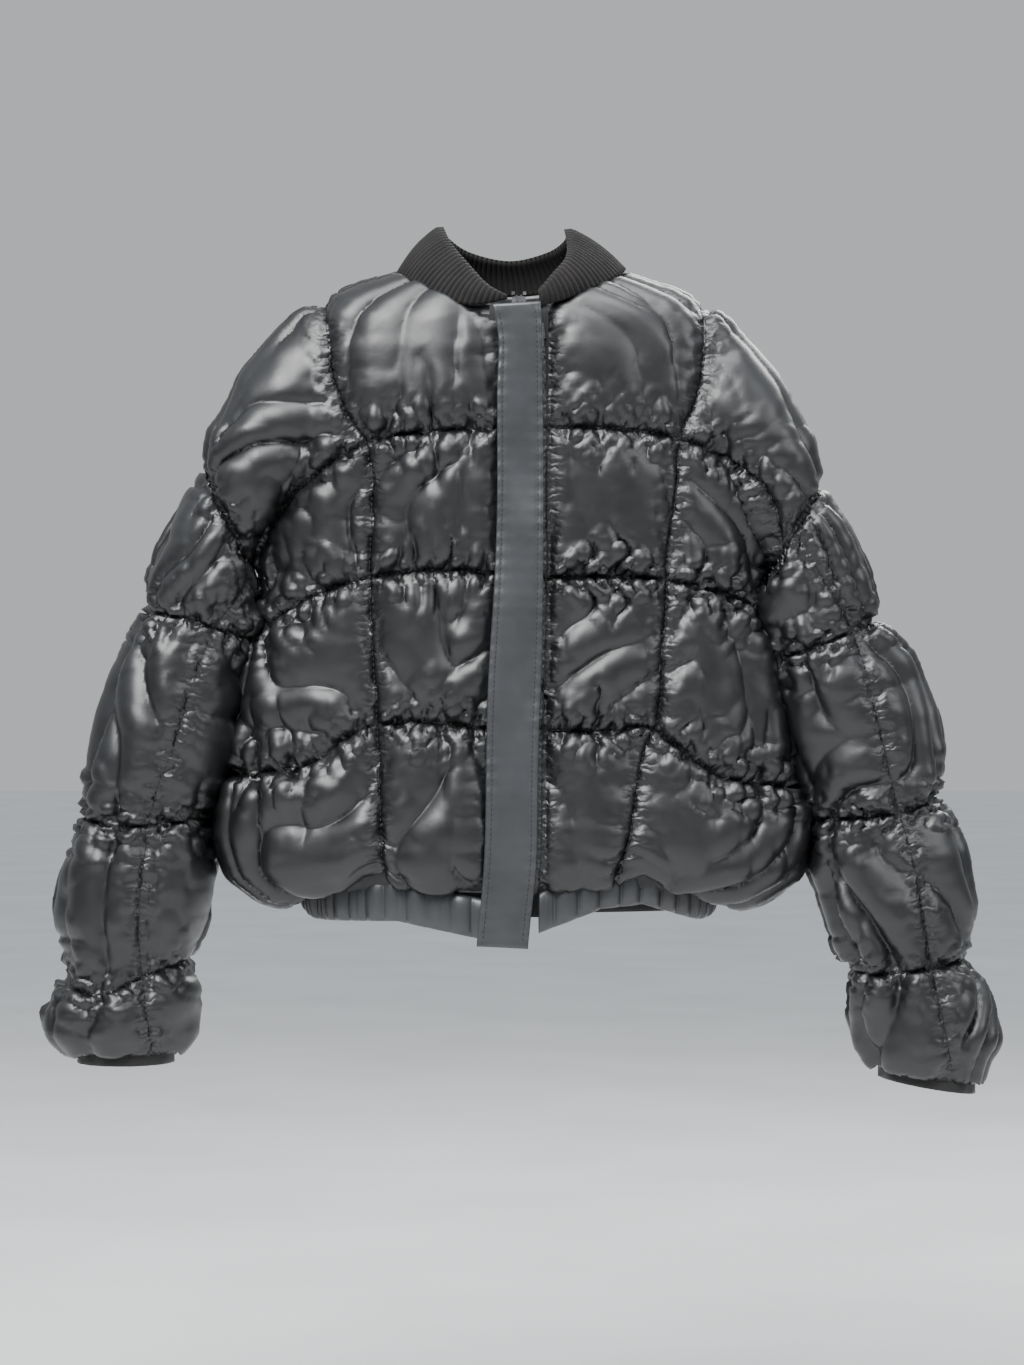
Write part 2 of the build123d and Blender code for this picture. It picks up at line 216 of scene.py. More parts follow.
# Gathered seams that run down the front of each sleeve only.
SLEEVE_FRONTS = {
    "sleeve_front_left": [(-200, -206), (-211, -241), (-232, -271), (-248, -311), (-262, -359),
                          (-280, -407), (-289, -471), (-291, -527), (-282, -604)],
    "sleeve_front_right": [(224, -199), (256, -247), (272, -279), (285, -327), (296, -375),
                           (304, -407), (317, -455), (332, -535), (346, -607), (350, -628)],
}


# ---------------------------------------------------------------- curves and meshes
def smooth_curve(points, step=2.0):
    """A Catmull-Rom curve through the points, in metres, with a point every step millimetres."""
    p = np.array(points, float)
    p = np.vstack([2 * p[0] - p[1], p, 2 * p[-1] - p[-2]])
    out = []
    for i in range(1, len(p) - 2):
        n = max(2, int(np.linalg.norm(p[i + 1] - p[i]) / step))
        t = np.linspace(0, 1, n, endpoint=False)[:, None]
        a = 2 * p[i]
        b = p[i + 1] - p[i - 1]
        c = 2 * p[i - 1] - 5 * p[i] + 4 * p[i + 1] - p[i + 2]
        d = -p[i - 1] + 3 * p[i] - 3 * p[i + 1] + p[i + 2]
        out.append(0.5 * (a + b * t + c * t**2 + d * t**3))
    out.append(p[-2][None])
    return np.vstack(out) * MM


CURVES = {
    name: smooth_curve(points)
    for seams in (BODY_SEAMS, FRONT_EDGES, SLEEVE_SEAMS, SLEEVE_FRONTS)
    for name, points in seams.items()
}


def resampled(curve, count):
    """The curve at count points with equal steps along it."""
    steps = np.linalg.norm(np.diff(curve, axis=0), axis=1)
    length = np.concatenate([[0], np.cumsum(steps)])
    at = np.linspace(0, length[-1], count)
    return np.stack([np.interp(at, length, curve[:, k]) for k in range(curve.shape[1])], -1)


def beyond(name, direction, x, z):
    """True where a point lies past the seam in a direction in X and Z."""
    curve = CURVES[name]
    chord = curve[-1] - curve[0]
    along = chord / np.linalg.norm(chord)
    across = np.array([-along[1], along[0]])
    rel = np.stack([x, z], -1) - curve[0]
    u, v = rel @ along, rel @ across
    side = v - np.interp(u, (curve - curve[0]) @ along, (curve - curve[0]) @ across)
    return side * (across @ np.array(direction)) > 0


def edge_x(name, z):
    """Where a front edge is at a height."""
    curve = CURVES[name][::-1]
    return np.interp(z, curve[:, 1], curve[:, 0])


def new_mesh(name, verts, faces):
    mesh = bpy.data.meshes.new(name)
    mesh.from_pydata([tuple(v) for v in verts], [], faces)
    mesh.update()
    mesh.polygons.foreach_set("use_smooth", [True] * len(mesh.polygons))
    obj = bpy.data.objects.new(name, mesh)
    bpy.context.scene.collection.objects.link(obj)
    return obj


def points_of(obj):
    co = np.empty(len(obj.data.vertices) * 3)
    obj.data.vertices.foreach_get("co", co)
    return co.reshape(-1, 3)


def set_points(obj, co):
    obj.data.vertices.foreach_set("co", np.ascontiguousarray(co, float).ravel())
    obj.data.update()


def normals_of(obj):
    n = np.empty(len(obj.data.vertices) * 3, np.float32)
    obj.data.vertex_normals.foreach_get("vector", n)
    return n.reshape(-1, 3).astype(float)


def add_values(obj, name, values):
    """Keep a number for each vertex, under a name that a material can read."""
    attribute = obj.data.attributes.new(name, "FLOAT", "POINT")
    attribute.data.foreach_set("value", np.ascontiguousarray(values, np.float32))


def values_of(obj, name):
    values = np.empty(len(obj.data.vertices), np.float32)
    obj.data.attributes[name].data.foreach_get("value", values)
    return values


def faces_of(obj):
    return np.array([p.vertices[:] for p in obj.data.polygons if len(p.vertices) == 4])


def apply_modifiers(obj):
    depsgraph = bpy.context.evaluated_depsgraph_get()
    mesh = bpy.data.meshes.new_from_object(obj.evaluated_get(depsgraph))
    obj.modifiers.clear()
    obj.data = mesh


def add_smoothing(obj, group=""):
    smooth = obj.modifiers.new("smooth", "SMOOTH")
    smooth.factor = 0.5
    smooth.iterations = 4
    smooth.vertex_group = group


def grid_faces(rows, columns, closed_rows=False, closed_columns=False):
    """Quads of a grid whose vertices go row by row."""
    faces = []
    for r in range(rows if closed_rows else rows - 1):
        for c in range(columns if closed_columns else columns - 1):
            r2, c2 = (r + 1) % rows, (c + 1) % columns
            faces.append((r * columns + c, r * columns + c2, r2 * columns + c2, r2 * columns + c))
    return faces


def facing_away(co, faces, centre):
    """The faces, all turned round if most of them look towards the centre."""
    quads = co[np.array(faces)]
    normal = np.cross(quads[:, 1] - quads[:, 0], quads[:, 3] - quads[:, 0])
    outward = ((quads.mean(1) - centre) * normal).sum()
    return faces if outward > 0 else [face[::-1] for face in faces]


def grid_normals(grid, closed_columns=False):
    """The unit normals of a grid of points, shape rows by columns by 3."""
    if closed_columns:
        across = np.roll(grid, -1, 1) - np.roll(grid, 1, 1)
    else:
        across = np.gradient(grid, axis=1)
    normal = np.cross(across, np.gradient(grid, axis=0))
    return normal / np.maximum(np.linalg.norm(normal, axis=-1, keepdims=True), 1e-12)


def cloth_layer(name, grid, thickness, closed_columns=False):
    """A thin piece of cloth over a grid of points, with its two faces and its rim."""
    rows, columns = grid.shape[:2]
    offset = grid_normals(grid, closed_columns) * thickness / 2
    front, back = (grid + offset).reshape(-1, 3), (grid - offset).reshape(-1, 3)
    count = len(front)
    faces = grid_faces(rows, columns, closed_columns=closed_columns)
    key = {edge for f in faces for edge in zip(f, f[1:] + f[:1])}
    rim = [edge for edge in key if edge[::-1] not in key]
    both = list(faces) + [tuple(i + count for i in f[::-1]) for f in faces]
    both += [(b, a, a + count, b + count) for a, b in sorted(rim)]
    return new_mesh(name, np.vstack([front, back]), both)


def tube_between(rings):
    """Vertices and faces of a closed tube through rings of equal length, with flat caps."""
    count = len(rings[0])
    verts = [p for ring in rings for p in ring]
    faces = grid_faces(len(rings), count, closed_columns=True)
    faces.append(tuple(reversed(range(count))))
    faces.append(tuple(range((len(rings) - 1) * count, len(rings) * count)))
    return verts, faces


# ---------------------------------------------------------------- the form under the shell
def torso_ring(station, count=96, squareness=2.4, inset=0.0):
    """A ring of the body, a little squarer than an ellipse. The shoulders slope down to the front."""
    z, left, right, depth = (v * MM for v in station)
    angle = np.linspace(0, 2 * math.pi, count, endpoint=False)
    c, s = np.cos(angle), np.sin(angle)
    power = 2 / squareness
    x = (left + right) / 2 + ((right - left) / 2 - inset) * np.sign(c) * np.abs(c) ** power
    y = CENTRE_Y + (depth - inset) * np.sign(s) * np.abs(s) ** power
    near_neck = min(1.0, max(0.0, (z + NECK_REACH) / NECK_REACH))
    return np.stack([x, y, z + SHOULDER_SLOPE * near_neck * (y - CENTRE_Y)], -1)


def sleeve_ring(station, count=48, inset=0.0):
    """A ring across a sleeve, from its outer edge to its inner edge."""
    (ox, oz), (ix, iz), depth = station
    outer, inner = np.array([ox, 0, oz]) * MM, np.array([ix, 0, iz]) * MM
    middle, half = (outer + inner) / 2, (inner - outer) / 2
    half = half * (1 - inset / np.linalg.norm(half))
    angle = np.linspace(0, 2 * math.pi, count, endpoint=False)[:, None]
    ring = middle + half * np.cos(angle)
    ring[:, 1] = CENTRE_Y + (depth * MM - inset) * np.sin(angle[:, 0])
    return ring


def evenly_meshed(parts):
    """Closed tubes joined into one form, with an even mesh. Returns its points and faces."""
    verts, faces = [], []
    for rings in parts:
        v, f = tube_between(rings)
        faces += [tuple(i + len(verts) for i in face) for face in f]
        verts += v
    form = new_mesh("form", verts, faces)
    bpy.context.view_layer.objects.active = form
    form.select_set(True)
    bpy.ops.object.mode_set(mode="EDIT")
    bpy.ops.mesh.select_all(action="SELECT")
    bpy.ops.mesh.normals_make_consistent(inside=False)
    bpy.ops.object.mode_set(mode="OBJECT")
    remesh = form.modifiers.new("even", "REMESH")
    remesh.mode = "VOXEL"
    remesh.voxel_size = VOXEL
    add_smoothing(form)
    apply_modifiers(form)
    co, quads = points_of(form), faces_of(form)
    bpy.data.objects.remove(form)
    return co, quads


def make_form():
    """The body with its sleeve caps, and each sleeve below its cap, in one mesh of three islands."""
    caps = []
    for side in SIDES:
        rings = [sleeve_ring(s) for s in SLEEVES[side][:SEAM_1_RING + 1]]
        tucked = [sleeve_ring(SLEEVES[side][k], inset=TUCK_INSET) for k in (SEAM_1_RING, SEAM_1_RING + 1)]
        caps.append(rings + [tucked[0] + (tucked[1] - tucked[0]) * TUCK])
    islands = [[[torso_ring(s) for s in TORSO], *caps]]
    islands += [[[sleeve_ring(s) for s in SLEEVES[side][SEAM_1_RING:]]] for side in SIDES]
    points, faces, point_island, face_island = [], [], [], []
    for number, parts in enumerate(islands):
        co, quads = evenly_meshed(parts)
        faces.append(quads + sum(len(p) for p in points))
        points.append(co)
        point_island.append(np.full(len(co), number))
        face_island.append(np.full(len(quads), number))
    form = new_mesh("shell_form", np.vstack(points), np.vstack(faces).tolist())
    return form, np.concatenate(point_island), np.concatenate(face_island)


def seam_users(name, co, island):
    """The points that a seam can hold: those on its own part of the form."""
    if name in BODY_SEAMS:
        return np.where(island == 0)[0]
    if name in FRONT_EDGES:
        return np.where((island == 0) & (co[:, 1] < CENTRE_Y))[0]
    sleeve = island == 1 + SIDES.index(name.rsplit("_", 1)[1])
    if name in SLEEVE_FRONTS:
        return np.where(sleeve & (co[:, 1] < CENTRE_Y))[0]
    if name.startswith("sleeve_1"):
        return np.where(sleeve | (island == 0))[0]
    return np.where(sleeve)[0]


def nearest_on_seams(co, island):
    """For each point: distance in X and Z to the nearest seam, place along it, nearest point on it."""
    best = np.full(len(co), 1.0)
    along = np.zeros(len(co))
    foot = co[:, [0, 2]].copy()
    for number, (name, curve) in enumerate(CURVES.items()):
        use = seam_users(name, co, island)
        low, high = curve.min(0) - SEAM_SEARCH, curve.max(0) + SEAM_SEARCH
        p = co[use][:, [0, 2]]
        near = np.all((p > low) & (p < high), 1)
        use, p = use[near], p[near]
        a = curve[:-1]
        ab = curve[1:] - a
        length = np.linalg.norm(ab, axis=1)
        start = np.concatenate([[0], np.cumsum(length)[:-1]])
        for first in range(0, len(use), AT_ONCE):
            ids, q = use[first:first + AT_ONCE], p[first:first + AT_ONCE]
            t = np.clip(((q[:, None] - a) * ab).sum(-1) / (length**2), 0, 1)
            f = a + t[..., None] * ab
            d = np.linalg.norm(q[:, None] - f, axis=-1)
            k = d.argmin(1)
            row = np.arange(len(q))
            better = d[row, k] < best[ids]
            hit = ids[better]
            best[hit] = d[row, k][better]
            along[hit] = number + (start[k] + t[row, k] * length[k])[better]
            foot[hit] = f[row, k][better]
    return best, along, foot


def hash_noise(x, seed):
    """Smooth noise of one variable, from -1 to 1."""
    i = np.floor(x)
    f = x - i
    f = f * f * (3 - 2 * f)

    def value(n):
        h = np.sin(n * 127.1 + seed * 311.7) * 43758.5453
        return 2 * (h - np.floor(h)) - 1

    return value(i) * (1 - f) + value(i + 1) * f


def gathers(along, distance, wave, seed):
    """Pleats across a seam: rounded ridges with sharp valleys, which wander with distance."""
    drift = 0.35 * wave * hash_noise(along / (2.3 * wave) + 3 * hash_noise(distance / 0.02, seed), seed + 1)
    ridge = np.abs(np.sin(math.pi * (along + drift) / wave)) ** 0.7
    strength = 0.65 + 0.35 * hash_noise(along / (3.1 * wave), seed + 2)
    return (ridge - 0.6) * strength


def place_round(co, island):
    """How far round the body or sleeve a point is, in metres, so that folds can run down it."""
    place = round_from(co, TORSO[::-1], BODY_RADIUS)
    for number, side in enumerate(SIDES, 1):
        rings = [((o[1] + i[1]) / 2, min(o[0], i[0]), max(o[0], i[0]), d) for o, i, d in SLEEVES[side]]
        here = island == number
        place[here] = round_from(co[here], sorted(rings), SLEEVE_RADIUS) + OTHER_FOLDS * number
    return place


def round_from(co, rings, radius):
    """How far round a stack of rings, lowest first, each point is."""
    x, y, z = co.T
    heights, left, right, depth = (np.array(column) * MM for column in zip(*rings))
    low, high = np.interp(z, heights, left), np.interp(z, heights, right)
    across = (x - (low + high) / 2) / ((high - low) / 2)
    return radius * np.arctan2((y - CENTRE_Y) / np.interp(z, heights, depth), across)


def long_folds(co, island, distance):
    """Folds that run down each tier: rounded ridges between deeper valleys, which wander and fade."""
    width, height = LONG_FOLD
    place = place_round(co, island)
    x, y, z = co.T
    wander = 1.3 * hash_noise(z / (95 * MM) + 1.7 * np.floor(place * 7), 3.0)
    wander += 0.8 * hash_noise(place / (70 * MM) + 0.6 * hash_noise(z / (60 * MM), 6.0), 9.0)
    ridge = np.abs(np.sin(math.pi * (place / width + wander))) ** 0.75 - 0.6
    strength = 0.62 + 0.38 * hash_noise(place / (90 * MM) + 2.0 * hash_noise(z / (110 * MM), 2.0), 12.0)
    strength[(island == 0) & (y < CENTRE_Y) & (np.abs(x - CENTRE_X) < FRONT_CENTRE_WIDTH)] *= 0.75
    strength[(island == 0) & (z > YOKE_FOOT)] *= 0.5
    return height * ridge * strength * (1 - np.exp(-distance / (9 * MM)))


def in_neck(co, grow=0.0):
    """True over the neck opening, which grow makes wider."""
    cx, cy, half_x, half_y = (v * MM for v in NECK)
    ratio = np.hypot((co[:, 0] - cx) / (half_x + grow), (co[:, 1] - cy) / (half_y + grow))
    return (ratio < 1) & (co[:, 2] > -NECK_REACH)


def tuck_end(sleeve):
    """The station at which a sleeve cap ends, inside the sleeve below it."""
    a, b = sleeve[SEAM_1_RING], sleeve[SEAM_1_RING + 1]
    ends = [tuple(np.array(p) + (np.array(q) - np.array(p)) * TUCK) for p, q in zip(a[:2], b[:2])]
    return ends[0], ends[1], a[2]


def end_planes(island):
    """The flat ends of an island: a point in X and Z on each, and its outward direction."""
    if island == 0:
        rings = [(tuck_end(SLEEVES[side]), SLEEVES[side][SEAM_1_RING]) for side in SIDES]
    else:
        sleeve = SLEEVES[SIDES[island - 1]]
        rings = [(sleeve[SEAM_1_RING], sleeve[SEAM_1_RING + 1]), (sleeve[-1], sleeve[-2])]
    planes = []
    for end, before in rings:
        outer, inner = np.array(end[0]) * MM, np.array(end[1]) * MM
        middle = (outer + inner) / 2
        across = (outer - inner) / np.linalg.norm(outer - inner)
        out = np.array([-across[1], across[0]])
        towards = middle - (np.array(before[0]) + np.array(before[1])) / 2 * MM
        planes.append((middle, out if out @ towards > 0 else -out))
    return planes


def past_end(co, middle, out):
    """How far points lie past a flat end, and whether they are level with it."""
    rel = co[:, [0, 2]] - middle
    return rel @ out, np.abs(rel @ np.array([-out[1], out[0]])) < END_WIDTH


def near_end(co, island, within):
    """True for points within a distance of a flat end of their island, and level with it."""
    found = np.zeros(len(co), bool)
    for number in range(3):
        here = island == number
        for middle, out in end_planes(number):
            past, level = past_end(co[here], middle, out)
            found[here] |= (past > -within) & level
    return found


def front_strip(co, island):
    """True for points of the body between the two front edges."""
    x, y, z = co.T
    inside = (x > edge_x("front_edge_left", z)) & (x < edge_x("front_edge_right", z))
    return (island == 0) & (y < CENTRE_Y) & inside


def first_folds(co, island, distance, along, foot):
    """How far the leather stands out in folds and pleats before it is blown up."""
    folds = long_folds(co, island, distance)
    # From 1 above or below a level seam to 0 beside an upright one.
    level = (np.abs(co[:, 2] - foot[:, 1]) / np.maximum(distance, 1e-6)).clip(0, 1) ** 2
    for number, (wave, height, fade) in enumerate(PLEATS):
        reach = fade * (0.45 + 0.55 * level)
        pleat = gathers(along, distance, wave, 1.0 + 4 * number) * np.exp(-distance / reach)
        folds += height * (0.35 + 0.65 * level) * pleat
    return folds


def add_calm_group(form, distance):
    """A vertex group for smoothing, strongest in the middle of each panel."""
    group = form.vertex_groups.new(name="calm")
    weight = np.clip((distance - 16 * MM) / (26 * MM), 0, 1)
    for step in range(1, CALM_STEPS + 1):
        low, high = (step - 1) / CALM_STEPS, step / CALM_STEPS
        group.add(np.where((weight > low) & (weight <= high))[0].tolist(), high, "REPLACE")


def inflate(form, held):
    """Blow the form up as cloth, except where it is held."""
    group = form.vertex_groups.new(name="held")
    group.add(np.where(held)[0].tolist(), 1.0, "REPLACE")
    cloth = form.modifiers.new("cloth", "CLOTH")
    cloth.settings.vertex_group_mass = "held"
    for setting, value in CLOTH.items():
        setattr(cloth.settings, setting, value)
    cloth.settings.effector_weights.gravity = 0.0
    cloth.collision_settings.use_collision = False
    for number in range(1, SIM_FRAMES + 1):
        bpy.context.scene.frame_set(number)
    apply_modifiers(form)


def swelling(co, island, distance):
    """How far each panel swells between its seams, which sink. The underarm stays flat."""
    swell = PILLOW * (1 - np.exp(-distance / (13 * MM))) - SEAM_SINK * np.exp(-distance / (6 * MM))
    swell[island > 0] *= SLEEVE_SWELL
    from_underarm = np.hypot(np.abs(co[:, 0]) - UNDERARM[0], co[:, 2] - UNDERARM[1])
    return swell * np.clip(from_underarm / (35 * MM), 0, 1)


def sew_and_inflate(form, island):
    """Hold the seams and open ends and blow the leather up between them. Returns the unblown points."""
    co = points_of(form)
    normal = normals_of(form)
    distance, along, foot = nearest_on_seams(co, island)
    seam = distance < 0.62 * VOXEL
    co[seam, 0] = foot[seam, 0]
    co[seam, 2] = foot[seam, 1]
    strip = front_strip(co, island)
    body_ends = (co[:, 2] < HEM_HELD) | past_seam_1(co)
    ends = strip | in_neck(co, 6 * MM) | near_end(co, island, 3 * MM) | (island == 0) & body_ends
    held = seam | ends
    flat = np.clip((STRIP_TOP - co[:, 2]) / (30 * MM), 0, 1) * strip
    co[:, 1] += np.minimum(FRONT_STRIP_Y - co[:, 1], 0) * flat
    folds = first_folds(co, island, distance, along, foot)
    folds[held] = 0.0
    co += normal * folds[:, None]
    set_points(form, co)
    add_values(form, "seam_along", along)
    add_values(form, "seam_distance", distance)
    add_calm_group(form, distance)
    inflate(form, held)
    swell = np.where(held & ~seam, 0.0, swelling(co, island, distance))
    blown = points_of(form) + normals_of(form) * (HAND_FOLDS * folds + swell)[:, None]
    blown[:, 2] += lobes(co, island, folds)
    set_points(form, blown)
    add_smoothing(form, "calm")
    apply_modifiers(form)
    move = points_of(form) - co
    size = np.linalg.norm(move, axis=1)
    capped = MOST_PUFF * np.tanh(size / MOST_PUFF)
    set_points(form, co + move * (capped / np.maximum(size, 1e-9))[:, None])
    bpy.context.scene.frame_set(1)
    return co


def lobes(co, island, folds):
    """How far the lower edge of the body rises at the long seams and sags at the sides."""
    x, y, z = co.T
    low = np.clip((LOBE_TOP - z) / (55 * MM), 0, 1) ** 1.5 * (island == 0)
    notch = sum(np.exp(-((x - foot) / (17 * MM)) ** 2) for foot in LONG_SEAM_FEET) * (y < CENTRE_Y)
    side = np.clip((np.abs(x) - 135 * MM) / (50 * MM), 0, 1)
    small = 0.4 * np.clip(0.4 - folds / (10 * MM), 0, 1)
    return low * (LOBE_RISE * np.maximum(notch, small) - LOBE_SAG * side)


def past_seam_1(co):
    """True for points of a cap that are tucked inside the sleeve below."""
    x, z = co[:, 0], co[:, 2]
    left = beyond("sleeve_1_left", DOWN, x, z) & (x < -UNDERARM[0])
    right = beyond("sleeve_1_right", DOWN, x, z) & (x > UNDERARM[0])
    return (left | right) & (z > TUCK_FOOT)


def body_panels(x, z, front):
    """The panel that each point of the body and its sleeve caps belongs to."""
    names = np.full(len(x), None, object)
    for side in SIDES:
        out = (-1, 0) if side == "left" else (1, 0)
        here = (x < CENTRE_X) if side == "left" else (x >= CENTRE_X)
        tier = 1 + sum(beyond(f"tier_{n}_{side}", DOWN, x, z).astype(int) for n in (1, 2, 3))
        cap = here & (tier == 1) & beyond(f"armhole_{side}", out, x, z)
        names[here & (tier == 1) & front & ~cap] = f"front_yoke_{side}"
        names[here & (tier == 1) & ~front & ~cap] = "back_panel_1"
        names[cap] = f"sleeve_cap_{side}"
        outer = beyond(f"princess_{side}", out, x, z)
        for n in (2, 3, 4):
            level = here & (tier == n)
            names[level & ~front] = f"back_panel_{n}"
            names[level & front & outer] = f"front_side_{side}_{n}"
            names[level & front & ~outer] = f"front_centre_{side}_{n}"
    return names


def sleeve_panels(side, x, z, front):
    """The panel that each point of a sleeve below its cap belongs to."""
    tier = 2 + sum(beyond(f"sleeve_{n}_{side}", DOWN, x, z).astype(int) for n in (2, 3, 4))
    names = np.full(len(x), f"cuff_{side}", object)
    for n in (2, 3, 4):
        names[(tier == n) & front] = f"sleeve_front_{side}_{n}"
        names[(tier == n) & ~front] = f"sleeve_back_{side}_{n}"
    return names


def panel_names(base, faces, island):
    """The CAD panel that each face belongs to, or None at an opening."""
    quads = base[faces]
    centre = quads.mean(1)
    normal = np.cross(quads[:, 2] - quads[:, 0], quads[:, 3] - quads[:, 1])
    normal /= np.maximum(np.linalg.norm(normal, axis=1, keepdims=True), 1e-12)
    x, y, z = centre.T
    front = y < CENTRE_Y
    names = np.full(len(faces), None, object)
    body = island == 0
    names[body] = body_panels(x[body], z[body], front[body])
    for number, side in enumerate(SIDES, 1):
        here = island == number
        names[here] = sleeve_panels(side, x[here], z[here], front[here])
    slot = (x > edge_x("front_edge_left", z)) & (x < edge_x("front_edge_right", z) - SLOT_RIGHT)
    opening = body & (in_neck(centre) | (z < HEM_CUT) & (normal[:, 2] < -0.6) | front & slot)
    for number in range(3):
        for middle, out in end_planes(number):
            past, level = past_end(centre, middle, out)
            flat_end = level & (np.abs(past) < 6 * MM) & (normal[:, [0, 2]] @ out > 0.75)
            opening |= (island == number) & flat_end
    names[opening] = None
    return names


def cut_piece(name, co, normal, faces, values):
    """One panel of the shell: its outer face, an inner face a thickness behind it, and the rim."""
    used, index = np.unique(faces, return_inverse=True)
    local = index.reshape(faces.shape)
    outer = co[used]
    inner = outer - normal[used] * SHELL_THICKNESS
    count = len(used)
    edges = np.concatenate([local[:, [k, (k + 1) % 4]] for k in range(4)])
    key = {(a, b) for a, b in edges.tolist()}
    rim = sorted(edge for edge in key if edge[::-1] not in key)
    all_faces = local.tolist()
    all_faces += (local[:, ::-1] + count).tolist()
    all_faces += [(b, a, a + count, b + count) for a, b in rim]
    piece = new_mesh(name, np.vstack([outer, inner]), all_faces)
    for label, value in values.items():
        add_values(piece, label, np.tile(value[used], 2))
    return piece


# ---------------------------------------------------------------- materials
FINE_PLEAT = 6.4 * MM
WAVES_TO_SCALE = 3.18  # ridges to a metre at a wave texture's scale of 1


def new_material(name):
    material = bpy.data.materials.new(name)
    material.use_nodes = True
    tree = material.node_tree
    coords = tree.nodes.new("ShaderNodeTexCoord").outputs["Object"]
    return material, tree, tree.nodes["Principled BSDF"], coords


def set_inputs(tree, node, inputs):
    """Give each of these inputs of a node its number or colour, or link it to another node's output."""
    for name, value in inputs.items():
        if isinstance(value, bpy.types.NodeSocket):
            tree.links.new(value, node.inputs[name])
        else:
            node.inputs[name].default_value = value


def add_node(tree, kind, output, inputs, **settings):
    """A new node with its settings and inputs. Returns one of its outputs."""
    node = tree.nodes.new("ShaderNode" + kind)
    for setting, value in settings.items():
        setattr(node, setting, value)
    set_inputs(tree, node, inputs)
    return node.outputs[output]


def noise(tree, coords, scale, detail=3.0, roughness=0.5, distortion=0.0):
    inputs = {"Vector": coords, "Scale": scale, "Detail": detail, "Roughness": roughness}
    return add_node(tree, "TexNoise", "Fac", {**inputs, "Distortion": distortion})


def waves(tree, coords, scale, direction, distortion=0.0):
    """Parallel ridges, scale of them to a metre, across one axis."""
    inputs = {"Vector": coords, "Scale": scale / WAVES_TO_SCALE, "Distortion": distortion, "Detail": 1.0}
    return add_node(tree, "TexWave", "Fac", inputs, bands_direction=direction)


def ramp(tree, value, low, high, color_low, color_high):
    node = tree.nodes.new("ShaderNodeValToRGB")
    for stop, position, color in zip(node.color_ramp.elements, (low, high), (color_low, color_high)):
        stop.position = position
        stop.color = (*color, 1)
    tree.links.new(value, node.inputs["Fac"])
    return node.outputs["Color"]


def map_range(tree, value, low, high, to_low, to_high):
    inputs = {"Value": value, "From Min": low, "From Max": high, "To Min": to_low, "To Max": to_high}
    return add_node(tree, "MapRange", "Result", inputs)


def bump(tree, height, strength, distance, before=None):
    inputs = {"Strength": strength, "Distance": distance, "Height": height}
    if before is not None:
        inputs["Normal"] = before
    return add_node(tree, "Bump", "Normal", inputs)


def math_node(tree, operation, *values):
    return add_node(tree, "Math", 0, dict(enumerate(values)), operation=operation)


def seam_pleats(tree, coords):
    """The height of the fine pleats that the elastic draws up next to each seam."""
    along = add_node(tree, "Attribute", "Fac", {}, attribute_name="seam_along")
    distance = add_node(tree, "Attribute", "Fac", {}, attribute_name="seam_distance")
    turns = math_node(tree, "MULTIPLY", along, math.pi / FINE_PLEAT)
    drift = math_node(tree, "MULTIPLY", noise(tree, coords, 95, 2), 7.0)
    ridge = math_node(tree, "ABSOLUTE", math_node(tree, "SINE", math_node(tree, "ADD", turns, drift)))
    near = map_range(tree, distance, 0.0, 15 * MM, 1.0, 0.0)
    return math_node(tree, "MULTIPLY", ridge, math_node(tree, "POWER", near, 1.6))


def leather_material(name, dark, light, gathered):
    """Satin black faux leather: fine pebble grain, small creases, an uneven sheen, pleats at seams."""
    material, tree, shader, coords = new_material(name)
    creases = noise(tree, coords, 130, 4, 0.6, 0.5)
    pleats = bump(tree, seam_pleats(tree, coords), 0.4, 0.0018) if gathered else None
    soft = bump(tree, creases, 0.10, 0.0012, pleats)
    set_inputs(tree, shader, {
        "Base Color": ramp(tree, noise(tree, coords, 22, 4, 0.55), 0.3, 0.75, dark, light),
        "Roughness": map_range(tree, noise(tree, coords, 60, 5, 0.6), 0.25, 0.75, 0.35, 0.46),
        "Normal": bump(tree, noise(tree, coords, 1500, 2, 0.5), 0.10, 0.0003, soft),
        "Specular IOR Level": 0.6,
        "Coat Weight": 0.1,
        "Coat Roughness": 0.3,
    })
    return material


def cloth_material(name, dark, light, weave, direction, roughness, sheen=0.15):
    """Dull black textile with a fine weave or rib, weave threads to a metre."""
    material, tree, shader, coords = new_material(name)
    fuzz = noise(tree, coords, 900, 3, 0.6)
    rows = bump(tree, waves(tree, coords, weave, direction, 0.6), 0.16, 0.0004)
    set_inputs(tree, shader, {
        "Base Color": ramp(tree, noise(tree, coords, 45, 4, 0.6), 0.3, 0.7, dark, light),
        "Roughness": map_range(tree, fuzz, 0.2, 0.8, roughness - 0.08, roughness + 0.08),
        "Normal": bump(tree, fuzz, 0.2, 0.0003, rows),
        "Specular IOR Level": 0.3,
        "Sheen Weight": sheen,
        "Sheen Roughness": 0.5,
    })
    return material


def thread_material():
    """Matt black sewing thread."""
    material, tree, shader, coords = new_material("black_thread")
    twist = noise(tree, coords, 1200, 2, 0.5)
    set_inputs(tree, shader, {
        "Base Color": ramp(tree, twist, 0.3, 0.7, (0.004, 0.004, 0.004), (0.014, 0.014, 0.015)),
        "Normal": bump(tree, twist, 0.4, 0.0003),
        "Roughness": 0.75,
    })
    return material


def coil_material():
    """Black nylon zip coil, its turns drawn as ridges across the chain."""
    material, tree, shader, coords = new_material("zip_coil_nylon")
    turns = waves(tree, coords, 830, "Z")
    set_inputs(tree, shader, {
        "Base Color": ramp(tree, turns, 0.2, 0.8, (0.006, 0.006, 0.006), (0.03, 0.03, 0.031)),
        "Normal": bump(tree, turns, 0.9, 0.0008),
        "Roughness": 0.42,
    })
    return material


